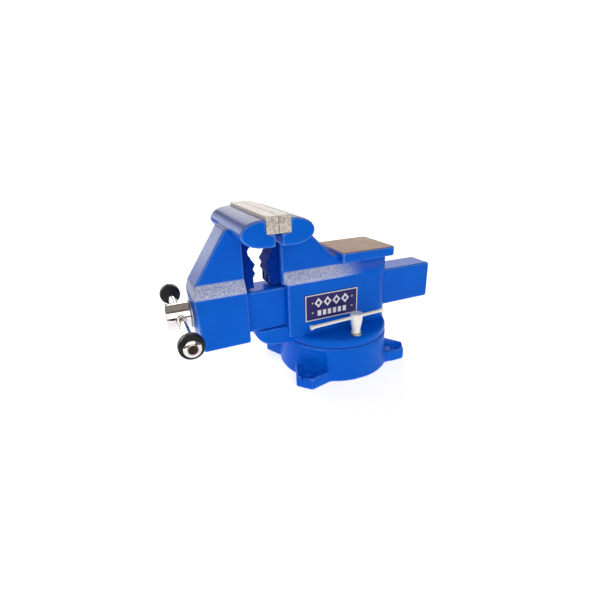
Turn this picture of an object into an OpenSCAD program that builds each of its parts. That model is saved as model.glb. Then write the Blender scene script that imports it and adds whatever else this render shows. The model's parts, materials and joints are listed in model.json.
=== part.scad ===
// Bench and pipe vise on a swivel base, in millimetres, +Z up.
// The origin is on the swivel axis at the foot plane. The jaws close along X, the tail of the
// slide points to +X, the spindle head to -X, and the side with the nameplate faces -Y.

/* [Jaws] */
// Width of both jaws across the vise
jaw_w = 165; // [150:1:180]
// Height of the jaw tops above the foot plane
jaw_top = 261; // [258:1:268]
// Thickness of a replaceable jaw insert
insert_t = 16; // [12:0.5:17]
// Height of a replaceable jaw insert
insert_h = 22; // [18:0.5:24]
// Gap between the two inserts at rest
insert_gap = 0.8; // [0.4:0.1:2]
// Height of a jaw head from its underside to its top edge
head_h = 35; // [32:0.5:38]
// Depth of a jaw head from its gap face to its back
head_depth = 46; // [42:0.5:48]
// Distance of the insert screws from the middle of the jaw
insert_screw_y = 49.5; // [40:0.5:60]
// How far the jaws open
jaw_travel = 152; // [120:1:155]
// Station of the jaw line ahead of the swivel axis
jaw_x = -122; // [-124:1:-120]

/* [Castings] */
// Width of both castings across their lower blocks
block_w = 72; // [70:1:80]
// Width of both castings across their upper webs
web_w = 54; // [50:1:56]
// Height at which the textured shoulder starts
band_z = 152; // [151:0.5:154]
// Height of the textured shoulder
band_h = 17; // [12:0.5:20]
// Underside of the front block
block_z = 74; // [72:0.5:80]
// Foremost station of the front block
block_front = -228.5; // [-236:0.5:-226]
// Rear station of the front block
block_rear = -155; // [-157:0.5:-154]
// Front station of the fixed body
body_front = -95; // [-97:0.5:-92]
// Rear station of the fixed body and of the anvil
body_rear = 87; // [84:1:92]
// Radius of the rear corners of the fixed body
body_corner = 26; // [20:1:27]
// Front station of the anvil
anvil_front = -8; // [-12:1:0]
// Width of the anvil
anvil_w = 90; // [80:1:96]
// Height of the anvil's working face
anvil_z = 190; // [188:1:194]
// Thickness of the anvil's plate
anvil_t = 15; // [12:0.5:16]

/* [Slide] */
// Width of the slide beam
slide_w = 47; // [44:0.5:50]
// Height of the slide beam
slide_h = 62; // [58:0.5:62]
// Underside of the slide beam
slide_z = 84; // [82:0.5:86]
// Wall of the slide beam
slide_wall = 8; // [6:0.5:8]
// Rear end of the slide beam
tail_x = 178; // [170:1:190]
// Play between the slide and its tunnel
slide_play = 0.4; // [0.3:0.1:0.6]

/* [Spindle] */
// Height of the spindle axis above the slide's underside
spindle_rise = 38; // [36:0.5:39]
// Radius of the spindle's thread
spindle_r = 12; // [10:0.5:12.5]
// Radius of the spindle's head
head_r = 19; // [17:0.5:20]
// Length of the spindle's head
head_len = 33; // [30:0.5:36]
// Length of the spindle nut
nut_len = 40; // [30:1:44]
// Middle station of the spindle nut
nut_x = -50; // [-54:1:-48]

/* [Handle] */
// Radius of the handle bar
bar_r = 6; // [5:0.25:6.5]
// Distance between the middles of the two rubber rings
bar_span = 200; // [170:1:220]
// Outer radius of a rubber ring
ring_r = 16; // [13:0.5:17]
// Thickness of a rubber ring
ring_t = 13; // [9:0.5:14]
// Radius of an end cap
cap_r = 11; // [9:0.5:12]

/* [Swivel base] */
// Radius of the base at its foot
base_r = 92; // [90:0.5:98]
// Radius of the base at its top
base_top_r = 87; // [86:0.5:88]
// Height of the base casting
base_h = 53.8; // [50:0.2:54]
// Radius of the turret plate
plate_r = 86; // [84:0.5:90]
// Thickness of the turret plate
plate_t = 15; // [13:0.5:16]
// Reach of the lugs from the swivel axis
lug_reach = 118.5; // [116:0.5:124]
// Thickness of the lugs
lug_t = 19; // [17:0.5:22]
// Half width of a lug at its tip
lug_tip = 13.3; // [11:0.1:15]
// Height of the sunk seat for a bolt head on a lug
seat_z = 13; // [10:0.5:15]
// Radius of the bolt holes in the lugs
lug_hole_r = 6.5; // [5:0.25:7]
// Radius of the circle through the bolt holes
bolt_r = 105; // [103:0.5:106]
// Angle of the rear lugs off the X axis
lug_rear_a = 30; // [28:1:36]
// Angle of the front lugs off the X axis
lug_front_a = 40; // [34:1:42]
// Radius of the pivot pilot under the turret plate
pilot_r = 20; // [16:0.5:24]

/* [Swivel locks] */
// Radius from the swivel axis to a lock stud
lock_r = 72; // [71:0.5:72]
// Radius of a lock stud
stud_r = 4; // [3.5:0.25:4.25]
// Height of a lock nut
lock_h = 32.5; // [30:0.5:36]
// Length of a lock bar
lock_bar_l = 127; // [110:1:130]
// Radius of a lock bar
lock_bar_r = 2.5; // [2:0.1:2.75]
// Turn of the lock bars off the X axis
lock_turn = 3; // [0:1:5]
// How far the lock bars are pushed towards the front
lock_shift = 15; // [0:1:20]

/* [Nameplate] */
// Length of the nameplate
tag_l = 93; // [80:1:100]
// Height of the nameplate
tag_h = 44; // [36:1:46]
// Middle station of the nameplate
tag_x = -22.5; // [-26:0.5:-18]

/* [Hidden] */

enamel = "#0a52c8";
steel = "#c9cdd2";
chrome = "#dfe3e8";
rubber = "#1c1c1e";
pale_steel = "#e4dcc8";
bronze = "#a07a3c";

// Gap of flat faces that turn or slide on each other, and radial play of running fits
face_gap = 0.2;
run_play = 0.05;
hole_play = 0.4;
cut = 1;
round_fn = 96;

plate_z = base_h + face_gap;
plate_top = plate_z + plate_t;
axis_z = slide_z + spindle_rise;
slide_top = slide_z + slide_h;
band_top = band_z + band_h;
head_top = jaw_top - 4;
head_z = head_top - head_h;
head_nose_z = head_z + 17;
insert_z = jaw_top - insert_h;
head_inset = 4;

// Front shoulder of the block, where the web starts to lean back
shoulder_x = block_front + 3.5;
// Front edge of the web under the moving head
web_front = jaw_x - 55;
web_front_z = head_z + 19;
throat_rear = body_front - 5;
throat_z = slide_top + 4;

block_wall = 15;
cavity_front = block_front + block_wall + 6;
cavity_rear = block_rear - 6;
boss_face = block_front - 0.5;
boss_r = 22;
washer_t = 2.5;
shank_x = boss_face - washer_t - face_gap;
cross_x = shank_x - head_len / 2 + 1.5;
// The spring clears the spindle by 1.7, its washer reaches past it, and the cavity clears both
spring_r = spindle_r + 3;
spring_wire = 1.3;
spring_len = 22;
spring_washer_r = spring_r + 3;
cavity_w = 2 * spring_washer_r + 4;
washer_x = cavity_front + spring_len + face_gap;
pin_x = washer_x + washer_t + 2.6;
pin_r = 2.5;
// The spindle still fills its nut when the jaws are fully open
spindle_end = nut_x + nut_len / 2 + jaw_travel + 3;

nut_w = slide_w - 2 * slide_wall - 2;
nut_top = slide_top - slide_wall - 1;
nut_z = axis_z - spindle_r - 6;
tang_h = 17;
tang_w = 16;
bolt_shank_r = 5;
bolt_head_r = 9;
bolt_head_h = 7;

// Base casting walls: outer drum, deck, hub ring and the ring slot that the lock studs ride in
deck_t = 11.8;
slot_w = 2 * (stud_r + 0.6);
drum_in = 79.4;
hub_out = 62;
hub_in = 50;
rib_z = 6;
rib_h = 16;
rib_w = 8;
lug_angles = [lug_rear_a, 180 - lug_front_a, 180 + lug_front_a, -lug_rear_a];

// Recess above a lug: a flat wall sunk into the drum
recess_x = drum_in + 3.2;
recess_half = 24;
recess_top = base_h - 5;
seat_r = 14;

pilot_h = 9;
t_head_r = 7;
t_head_h = 8;
lock_washer_t = 2.5;
lock_nut_z = plate_top + lock_washer_t + face_gap;
lock_bar_z = lock_nut_z + lock_h - 6;

tag_t = 1;
tag_z = (plate_top + band_z) / 2 - 1;
tag_y = -block_w / 2;

// Turned-down end of the handle bar, which carries a ring and a cap
bar_neck = bar_r - 1.5;
ring_y = bar_span / 2;

// Pipe jaw outline: depth from its back face and height from its foot, with two toothed lobes
pipe_jaw_w = 36;
pipe_jaw_outline = [[0, 0], [15, 0], [15, 16], [18.5, 22], [15.4, 28], [19.2, 35], [15.6, 40],
                    [13.4, 43], [12.8, 46], [10, 48.5], [9.6, 52], [9, 54.5], [10.6, 58],
                    [13, 60.5], [14, 64], [14, 68], [0, 68]];
pipe_screw_y = 9;
pipe_screw_h = 8;

// Extrudes an outline of X and Z across the vise
module across(width) {
    rotate([90, 0, 0]) linear_extrude(width, center = true) children();
}

// Extrudes an outline of Y and Z along the vise
module along(x0, x1) {
    translate([x0, 0, 0]) rotate([90, 0, 90]) linear_extrude(x1 - x0) children();
}

// A round bar along X between two stations
module bar_x(x0, x1, r) {
    translate([x0, 0, axis_z]) rotate([0, 90, 0]) cylinder(h = x1 - x0, r = r, $fn = round_fn);
}

// A round bar centred on the origin, lying along Y
module bar_y(length, r) {
    rotate([90, 0, 0]) cylinder(h = length, r = r, center = true, $fn = round_fn);
}

// Points of a quarter ellipse from one angle to another
function quarter(cx, cz, rx, rz, a0, a1, n = 10) =
    [for (i = [0:n]) let (a = a0 + (a1 - a0) * i / n) [cx + rx * cos(a), cz + rz * sin(a)]];

// Section shared by both castings: block, textured shoulder, web up to a height
module casting_section(z0, z1) {
    polygon([[-block_w / 2, z0], [block_w / 2, z0], [block_w / 2, band_z],
             [web_w / 2, band_top], [web_w / 2, z1], [-web_w / 2, z1],
             [-web_w / 2, band_top], [-block_w / 2, band_z]]);
}

// Section of a jaw head, drawn for the fixed jaw: it backs towards +X from its gap face
module head_section() {
    seat = insert_gap / 2 + insert_t;
    gap_face = head_inset + insert_gap / 2;
    round_x = 30;
    round_from = head_inset + head_depth - round_x;
    polygon(concat([[gap_face, insert_z], [gap_face, head_z]],
                   quarter(round_from, head_nose_z, round_x, head_nose_z - head_z, -90, 0),
                   quarter(round_from, head_nose_z, round_x, head_top - head_nose_z, 0, 90),
                   [[seat, head_top], [seat, insert_z]]));
}

// Holes for the screws of one insert, on the side given by the sign of X
module insert_screw_holes(side, r) {
    for (y = [-insert_screw_y, insert_screw_y])
        translate([jaw_x, y, jaw_top - insert_h / 2])
            rotate([0, side * 90, 0])
                cylinder(h = insert_gap / 2 + insert_t + 14, r = r, $fn = 48);
}

module insert_shape(side) {
    x0 = insert_gap / 2;
    groove = 1.1;
    difference() {
        translate([jaw_x, 0, 0]) mirror([side < 0 ? 1 : 0, 0, 0])
            difference() {
                translate([x0, -jaw_w / 2, insert_z]) cube([insert_t, jaw_w, insert_h]);
                for (i = [1:4])
                    translate([x0, 0, insert_z + i * insert_h / 5])
                        rotate([0, 45, 0])
                            cube([groove, jaw_w + cut, groove], center = true);
                for (i = [-15:15])
                    translate([x0, i * jaw_w / 33, insert_z + insert_h / 2])
                        rotate([0, 0, 45])
                            cube([groove, groove, insert_h + cut], center = true);
                for (y = [-insert_screw_y, insert_screw_y])
                    translate([x0 - cut, y, jaw_top - insert_h / 2])
                        rotate([0, 90, 0])
                            cylinder(h = 8 + cut, r = 6.2, $fn = 48);
            }
        insert_screw_holes(side, 4.2);
    }
}

module insert_screw_set(side) {
    for (y = [-insert_screw_y, insert_screw_y])
        translate([jaw_x, y, jaw_top - insert_h / 2])
            mirror([side < 0 ? 1 : 0, 0, 0])
                rotate([0, 90, 0])
                    difference() {
                        union() {
                            translate([0, 0, insert_gap / 2 + 2.5])
                                cylinder(h = 5.5, r = 6, $fn = 48);
                            translate([0, 0, insert_gap / 2 + 8])
                                cylinder(h = insert_t + 4, r = 4.05, $fn = 48);
                        }
                        translate([0, 0, insert_gap / 2 + 1.5])
                            cylinder(h = 4, r = 3, $fn = 6);
                    }
}

// Places a pipe jaw drawing on its web: side 1 is the fixed jaw, -1 the moving jaw
module on_web(side) {
    x0 = side > 0 ? throat_rear : block_rear;
    translate([x0, 0, throat_z]) mirror([side > 0 ? 1 : 0, 0, 0]) children();
}

module pipe_jaw_shape() {
    difference() {
        across(pipe_jaw_w) polygon(pipe_jaw_outline);
        for (y = [-pipe_screw_y, pipe_screw_y])
            translate([-cut, y, pipe_screw_h]) rotate([0, 90, 0]) {
                cylinder(h = 20, r = 3.2, $fn = 48);
                translate([0, 0, 8 + cut]) cylinder(h = 20, r = 5.2, $fn = 48);
            }
    }
}

module pipe_jaw_screw_set() {
    for (y = [-pipe_screw_y, pipe_screw_y])
        translate([0, y, pipe_screw_h]) rotate([0, 90, 0])
            difference() {
                union() {
                    translate([0, 0, -12]) cylinder(h = 20.1, r = 3.05, $fn = 48);
                    translate([0, 0, 8]) cylinder(h = 5, r = 5, $fn = 48);
                }
                translate([0, 0, 10]) cylinder(h = 4, r = 2.5, $fn = 6);
            }
}

module pipe_screw_holes() {
    for (y = [-pipe_screw_y, pipe_screw_y])
        translate([-14, y, pipe_screw_h]) rotate([0, 90, 0]) cylinder(h = 15, r = 3.1, $fn = 48);
}

// Moving jaw: hollow slide beam, lower block, leaning web and head in one casting
module front_jaw_casting() {
    color(enamel) difference() {
        union() {
            intersection() {
                along(block_front - cut, block_rear) casting_section(block_z, band_top + cut);
                across(block_w + cut)
                    polygon([[block_front + 5, block_z], [block_rear, block_z],
                             [block_rear, band_top], [shoulder_x, band_top],
                             [block_front, band_z + 1]]);
            }
            across(web_w)
                polygon([[shoulder_x, band_top - cut], [block_rear, band_top - cut],
                         [block_rear, head_z + 10], [web_front, web_front_z]]);
            translate([jaw_x, 0, 0]) mirror([1, 0, 0]) across(jaw_w) head_section();
            translate([block_rear - cut, -slide_w / 2, slide_z])
                cube([tail_x - block_rear + cut, slide_w, slide_h]);
            bar_x(boss_face, block_front + block_wall, boss_r);
        }
        // Channel of the beam, open below and at the tail
        translate([cavity_rear - cut, -slide_w / 2 + slide_wall, block_z - cut])
            cube([tail_x - cavity_rear + 2 * cut, slide_w - 2 * slide_wall,
                  slide_top - slide_wall - block_z + cut]);
        // Wider cavity of the block around the return spring
        translate([cavity_front, -cavity_w / 2, block_z - cut])
            cube([cavity_rear - cavity_front, cavity_w, slide_top - 3 - block_z + cut]);
        bar_x(boss_face - cut, cavity_front + cut, spindle_r + hole_play);
        insert_screw_holes(-1, 4.1);
        on_web(-1) pipe_screw_holes();
    }
}

// Front tongue that carries the slide ahead of the body, rounded like a bow
module nose() {
    tip = body_front - 49;
    reach = 60;
    corner = 15;
    half = web_w / 2 + 1;
    intersection() {
        across(2 * half + cut)
            polygon(concat([[tip + 0.5, slide_z - slide_play]],
                           quarter(tip + 34, slide_z - 5, 33, 22, 180, 262, 8),
                           [[tip + 56, plate_z + 0.3], [tip + reach + 50, plate_z + 0.3],
                            [tip + reach + 50, slide_z - slide_play]]));
        linear_extrude(jaw_top)
            union() {
                translate([tip + corner, -half]) square([reach + 50, 2 * half]);
                translate([tip, -half + corner]) square([corner + cut, 2 * (half - corner)]);
                for (s = [-1, 1])
                    translate([tip + corner, s * (half - corner)]) circle(corner, $fn = round_fn);
            }
    }
}

// Turret plate with a rounded rim
module turret_plate() {
    rim = 6;
    foot = 1.5;
    rotate_extrude($fn = 180)
        polygon(concat([[0, plate_z], [plate_r - foot, plate_z], [plate_r, plate_z + foot]],
                       quarter(plate_r - rim, plate_top - rim, rim, rim, 0, 90, 6),
                       [[0, plate_top]]));
}

// Fixed jaw: turret plate, body with the slide tunnel, neck, head and anvil in one casting
module static_jaw_casting() {
    tunnel_w = slide_w + 2 * slide_play;
    neck_x = jaw_x + head_inset + head_depth;
    color(enamel) difference() {
        union() {
            turret_plate();
            translate([0, 0, plate_z - pilot_h])
                cylinder(h = pilot_h + cut, r = pilot_r, $fn = round_fn);
            nose();
            intersection() {
                along(body_front, body_rear)
                    casting_section(plate_top - cut, anvil_z - anvil_t + cut);
                linear_extrude(jaw_top)
                    union() {
                        translate([body_front, -block_w / 2])
                            square([body_rear - body_front - body_corner, block_w]);
                        translate([body_rear - body_corner - cut, body_corner - block_w / 2])
                            square([body_corner + cut, block_w - 2 * body_corner]);
                        for (s = [-1, 1])
                            translate([body_rear - body_corner, s * (block_w / 2 - body_corner)])
                                circle(body_corner, $fn = round_fn);
                    }
            }
            across(web_w)
                polygon(concat([[throat_rear, throat_z], [throat_rear, head_z + 8],
                                [neck_x + 10, head_z + 8], [neck_x + 23, head_z - 3]],
                               quarter(anvil_front + 2, anvil_z + 8, 18, 15, 205, 270, 6),
                               [[anvil_front + 2, throat_z]]));
            translate([jaw_x, 0, 0]) across(jaw_w) head_section();
            anvil_plate();
            anvil_corbels();
        }
        // Tunnel for the slide, clear of the pedestal that holds the spindle nut
        difference() {
            translate([throat_rear - 60, -tunnel_w / 2, slide_z - slide_play])
                cube([body_rear - throat_rear + 61, tunnel_w, slide_h + 2 * slide_play]);
            translate([nut_x - nut_len / 2 + 4, -nut_w / 2 + 2, plate_top])
                cube([nut_len - 8, nut_w - 4, nut_z - plate_top]);
        }
        // Pocket of the nut's tang and the bolt that draws it down
        translate([nut_x - tang_w / 2, -tang_w / 2 + 1, nut_z - tang_h - 0.5])
            cube([tang_w, tang_w - 2, tang_h + cut]);
        translate([nut_x, 0, plate_z - cut])
            cylinder(h = nut_z - plate_z, r = bolt_shank_r + hole_play, $fn = 48);
        translate([nut_x, 0, plate_z - cut])
            cylinder(h = bolt_head_h + 1 + cut, r = bolt_head_r + 1.5, $fn = 48);
        for (s = [-1, 1])
            translate([0, s * lock_r, plate_z - cut])
                cylinder(h = plate_t + 2 * cut, r = stud_r + hole_play, $fn = 48);
        insert_screw_holes(1, 4.1);
        on_web(1) pipe_screw_holes();
    }
}

module anvil_plate() {
    corner = 7;
    translate([0, 0, anvil_z - anvil_t]) linear_extrude(anvil_t)
        union() {
            translate([anvil_front, -anvil_w / 2])
                square([body_rear - anvil_front - corner, anvil_w]);
            translate([body_rear - corner - cut, corner - anvil_w / 2])
                square([corner + cut, anvil_w - 2 * corner]);
            for (s = [-1, 1])
                translate([body_rear - corner, s * (anvil_w / 2 - corner)])
                    circle(corner, $fn = 48);
        }
}

// Slanted supports between the web and the overhanging edge of the anvil
module anvil_corbels() {
    top = anvil_z - anvil_t;
    along(anvil_front + 6, body_rear - 12)
        polygon([[-anvil_w / 2 + 7, top + cut], [-anvil_w / 2 + 7, top - 0.5],
                 [-web_w / 2, top - 5], [web_w / 2, top - 5],
                 [anvil_w / 2 - 7, top - 0.5], [anvil_w / 2 - 7, top + cut]]);
}

module front_insert() {
    color(pale_steel) insert_shape(-1);
}

module rear_insert() {
    color(pale_steel) insert_shape(1);
}

module front_insert_screws() {
    color(steel) insert_screw_set(-1);
}

module rear_insert_screws() {
    color(steel) insert_screw_set(1);
}

module front_pipe_jaw() {
    color(enamel) on_web(-1) pipe_jaw_shape();
}

module rear_pipe_jaw() {
    color(enamel) on_web(1) pipe_jaw_shape();
}

module front_pipe_jaw_screws() {
    color(steel) on_web(-1) pipe_jaw_screw_set();
}

module rear_pipe_jaw_screws() {
    color(steel) on_web(1) pipe_jaw_screw_set();
}

// Spindle: head with the cross hole for the handle, thread and a plain pilot at its end
module main_spindle() {
    bevel = 1.5;
    color(chrome) difference() {
        union() {
            translate([shank_x - head_len, 0, axis_z]) rotate([0, 90, 0])
                rotate_extrude($fn = round_fn)
                    polygon([[0, 0], [head_r - bevel, 0], [head_r, bevel],
                             [head_r, head_len - bevel], [head_r - bevel, head_len],
                             [0, head_len]]);
            bar_x(shank_x - cut, spindle_end - 4, spindle_r);
            bar_x(spindle_end - 5, spindle_end, spindle_r - 2.5);
        }
        translate([cross_x, 0, axis_z]) bar_y(2 * head_r + 2, bar_r + hole_play);
        translate([pin_x, 0, axis_z])
            cylinder(h = 2 * spindle_r + 2, r = pin_r, center = true, $fn = 32);
    }
}

// Nut block on its pedestal, with a tang that the bolt below pulls down
module spindle_nut() {
    color(bronze) difference() {
        union() {
            translate([nut_x - nut_len / 2, -nut_w / 2, nut_z])
                cube([nut_len, nut_w, nut_top - nut_z]);
            translate([nut_x - tang_w / 2 + 0.2, -tang_w / 2 + 1.2, nut_z - tang_h])
                cube([tang_w - 0.4, tang_w - 2.4, tang_h + cut]);
        }
        bar_x(nut_x - nut_len, nut_x + nut_len, spindle_r + run_play);
        translate([nut_x, 0, nut_z - tang_h - cut])
            cylinder(h = tang_h + cut - 1, r = bolt_shank_r + run_play, $fn = 48);
    }
}

module nut_bolt() {
    color(steel) translate([nut_x, 0, plate_z + 1 - face_gap])
        union() {
            cylinder(h = bolt_head_h, r = bolt_head_r, $fn = 6);
            cylinder(h = nut_z - plate_z - 4, r = bolt_shank_r, $fn = 48);
        }
}

module thrust_washer() {
    color(steel) difference() {
        bar_x(boss_face - washer_t, boss_face, head_r + 1);
        bar_x(boss_face - washer_t - cut, boss_face + cut, spindle_r + hole_play);
    }
}

// Sweeps a round wire along a helix about the spindle's axis
module return_spring() {
    turns = 4;
    per_turn = 16;
    sides = 6;
    rings = turns * per_turn;
    pitch = (spring_len - 2 * spring_wire) / turns;
    points = [for (i = [0:rings], k = [0:sides - 1])
        let (a = 360 * i / per_turn, b = 360 * k / sides,
             r = spring_r + spring_wire * cos(b))
        [cavity_front + spring_wire + pitch * i / per_turn + spring_wire * sin(b),
         r * cos(a), axis_z + r * sin(a)]];
    walls = [for (i = [0:rings - 1], k = [0:sides - 1])
        let (n = (k + 1) % sides)
        [i * sides + k, i * sides + n, (i + 1) * sides + n, (i + 1) * sides + k]];
    ends = [[for (k = [sides - 1:-1:0]) k], [for (k = [0:sides - 1]) rings * sides + k]];
    color(steel) polyhedron(points, concat(walls, ends));
}

module spring_washer() {
    color(steel) difference() {
        bar_x(washer_x, washer_x + washer_t, spring_washer_r);
        bar_x(washer_x - cut, washer_x + washer_t + cut, spindle_r + 0.1);
    }
}

module retaining_pin() {
    color(steel) translate([pin_x, 0, axis_z])
        cylinder(h = 2 * spindle_r + 8, r = pin_r - run_play, center = true, $fn = 32);
}

module handle_bar() {
    color(chrome) translate([cross_x, 0, axis_z])
        union() {
            bar_y(bar_span - ring_t, bar_r);
            bar_y(bar_span + ring_t + 6, bar_neck);
        }
}

module handle_ring(side) {
    soft = 3.5;
    color(rubber) translate([cross_x, side * (ring_y - ring_t / 2), axis_z])
        rotate([-side * 90, 0, 0])
            rotate_extrude($fn = round_fn)
                polygon(concat([[bar_neck, 0]],
                               quarter(ring_r - soft, soft, soft, soft, -90, 0, 6),
                               quarter(ring_r - soft, ring_t - soft, soft, soft, 0, 90, 6),
                               [[bar_neck, ring_t]]));
}

module handle_cap(side) {
    dome = 3.5;
    rim = 2.5;
    color(chrome) translate([cross_x, side * (ring_y + ring_t / 2), axis_z])
        rotate([-side * 90, 0, 0])
            difference() {
                rotate_extrude($fn = round_fn)
                    polygon(concat([[0, 0], [cap_r, 0]],
                                   quarter(0, rim, cap_r, dome, 0, 90, 10)));
                translate([0, 0, -cut]) cylinder(h = 3 + cut, r = bar_neck, $fn = 48);
            }
}

module handle_ring_near() {
    handle_ring(-1);
}

module handle_ring_far() {
    handle_ring(1);
}

module handle_cap_near() {
    handle_cap(-1);
}

module handle_cap_far() {
    handle_cap(1);
}

module nameplate() {
    color("#2b2350") translate([tag_x, tag_y, tag_z])
        difference() {
            translate([0, -tag_t / 2, 0]) cube([tag_l, tag_t, tag_h], center = true);
            rivet_places() rotate([90, 0, 0]) cylinder(h = 9, r = 1, center = true, $fn = 24);
        }
}

// The four rivets sit inside the plate, closer together in height than its corners
module rivet_places() {
    for (x = [-tag_l / 2 + 13, tag_l / 2 - 11], z = [-8, 8])
        translate([x, 0, z]) children();
}

module nameplate_rivets() {
    color(steel) translate([tag_x, tag_y, tag_z])
        rivet_places()
            rotate([90, 0, 0])
                rotate_extrude($fn = 24)
                    polygon(concat([[0, 0], [1, 0], [1, tag_t]],
                                   quarter(0, tag_t, 1.8, 0.9, 0, 90, 4)));
}

module at_lock(side) {
    translate([0, side * lock_r, 0]) children();
}

// T-headed stud that rides in the ring slot of the base
module lock_stud(side) {
    color(steel) at_lock(side) {
        translate([0, 0, base_h - deck_t - t_head_h - face_gap])
            cylinder(h = t_head_h, r = t_head_r, $fn = 48);
        translate([0, 0, base_h - deck_t - 1])
            cylinder(h = lock_bar_z - 5 - base_h + deck_t + 1, r = stud_r, $fn = 48);
    }
}

module lock_washer(side) {
    color(steel) at_lock(side) translate([0, 0, plate_top])
        difference() {
            cylinder(h = lock_washer_t, r = 9.5, $fn = round_fn);
            translate([0, 0, -cut]) cylinder(h = 9, r = stud_r + run_play, $fn = 48);
        }
}

// Tall lock nut, wider at its top, with a cross hole for its bar
module lock_nut(side) {
    foot_r = 6.6;
    top_r = 9.4;
    color(pale_steel) at_lock(side) translate([0, 0, lock_nut_z])
        difference() {
            rotate_extrude($fn = round_fn)
                polygon([[0, 0], [foot_r - 0.6, 0], [foot_r, 0.6], [foot_r, 5],
                         [top_r, lock_h - 10], [top_r, lock_h - 1.2],
                         [top_r - 1.2, lock_h], [0, lock_h]]);
            translate([0, 0, -cut])
                cylinder(h = lock_bar_z - lock_nut_z - 4 + cut, r = stud_r + run_play, $fn = 48);
            translate([0, 0, lock_bar_z - lock_nut_z])
                rotate([0, 0, 90 + side * -lock_turn]) bar_y(40, lock_bar_r + 0.25);
        }
}

module lock_bar(side) {
    flare = 1.3;
    flare_l = 5;
    color(pale_steel) at_lock(side) translate([0, 0, lock_bar_z])
        rotate([0, 0, 90 + side * -lock_turn])
            translate([0, lock_shift, 0])
                rotate([90, 0, 0])
                    rotate_extrude($fn = 48)
                        polygon([[0, -lock_bar_l / 2], [lock_bar_r + flare, -lock_bar_l / 2],
                                 [lock_bar_r + flare, -lock_bar_l / 2 + 1.5],
                                 [lock_bar_r, -lock_bar_l / 2 + flare_l],
                                 [lock_bar_r, lock_bar_l / 2 - flare_l],
                                 [lock_bar_r + flare, lock_bar_l / 2 - 1.5],
                                 [lock_bar_r + flare, lock_bar_l / 2], [0, lock_bar_l / 2]]);
}

module lock_nut_near() {
    lock_nut(-1);
}

module lock_bar_near() {
    lock_bar(-1);
}

module lock_stud_near() {
    lock_stud(-1);
}

module lock_washer_near() {
    lock_washer(-1);
}

module lock_nut_far() {
    lock_nut(1);
}

module lock_bar_far() {
    lock_bar(1);
}

module lock_stud_far() {
    lock_stud(1);
}

module lock_washer_far() {
    lock_washer(1);
}

// Outline of one lug, drawn along +X: it flares from its tip into the drum
module lug_outline() {
    root_x = drum_in + 1;
    root = 33;
    polygon([[root_x, -root], [lug_reach, -lug_tip], [lug_reach, lug_tip], [root_x, root]]);
}

// Base: a hollow drum with four bolted lugs, a deck and a ring slot for the lock studs
module base_casting() {
    color(enamel) difference() {
        union() {
            rotate_extrude($fn = 180) {
                polygon(concat([[drum_in, 0], [base_r - 2, 0], [base_r, 2],
                                [base_r - 1.4, 9]],
                               quarter(base_top_r - 3, base_h - 3, 3, 3, 0, 90, 5),
                               [[lock_r + slot_w / 2, base_h],
                                [lock_r + slot_w / 2, base_h - deck_t],
                                [drum_in, base_h - deck_t]]));
                polygon([[pilot_r + run_play, base_h - deck_t], [hub_in, base_h - deck_t],
                         [hub_in, rib_z], [hub_out, rib_z], [hub_out, base_h - deck_t],
                         [lock_r - slot_w / 2, base_h - deck_t],
                         [lock_r - slot_w / 2, base_h], [pilot_r + run_play, base_h]]);
            }
            for (a = lug_angles)
                rotate(a) linear_extrude(lug_t) lug_outline();
            for (i = [0:7])
                rotate(22.5 + 45 * i)
                    translate([hub_out - 2, -rib_w / 2, rib_z])
                        cube([drum_in - hub_out + 4, rib_w, rib_h]);
        }
        for (a = lug_angles)
            rotate(a) {
                translate([bolt_r, 0, -cut])
                    cylinder(h = seat_z + 2 * cut, r = lug_hole_r, $fn = 48);
                lug_recess();
            }
    }
}

// Recess in the drum above a lug, and the round-ended seat for a bolt head that is sunk below it
module lug_recess() {
    corner = 8;
    reach = 40;
    translate([0, 0, lug_t]) linear_extrude(recess_top - lug_t)
        union() {
            translate([recess_x + corner, -recess_half]) square([reach, 2 * recess_half]);
            translate([recess_x, corner - recess_half])
                square([reach, 2 * (recess_half - corner)]);
            for (s = [-1, 1])
                translate([recess_x + corner, s * (recess_half - corner)])
                    circle(corner, $fn = 48);
        }
    translate([bolt_r - 1, 0, seat_z]) cylinder(h = lug_t, r = seat_r, $fn = 64);
    translate([recess_x + 4, -seat_r, seat_z]) cube([bolt_r - recess_x - 5, 2 * seat_r, lug_t]);
}

base_casting();
static_jaw_casting();
front_jaw_casting();
front_insert();
rear_insert();
front_insert_screws();
rear_insert_screws();
front_pipe_jaw();
rear_pipe_jaw();
front_pipe_jaw_screws();
rear_pipe_jaw_screws();
main_spindle();
spindle_nut();
nut_bolt();
thrust_washer();
return_spring();
spring_washer();
retaining_pin();
handle_bar();
handle_ring_near();
handle_ring_far();
handle_cap_near();
handle_cap_far();
nameplate();
nameplate_rivets();
lock_nut_near();
lock_bar_near();
lock_stud_near();
lock_washer_near();
lock_nut_far();
lock_bar_far();
lock_stud_far();
lock_washer_far();
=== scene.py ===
import json
import math

import bmesh
import bpy
import numpy as np
from bpy.props import FloatProperty, FloatVectorProperty, IntProperty, PointerProperty
from bpy.types import Operator, Panel, PropertyGroup
from mathutils import Matrix, Vector


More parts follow.
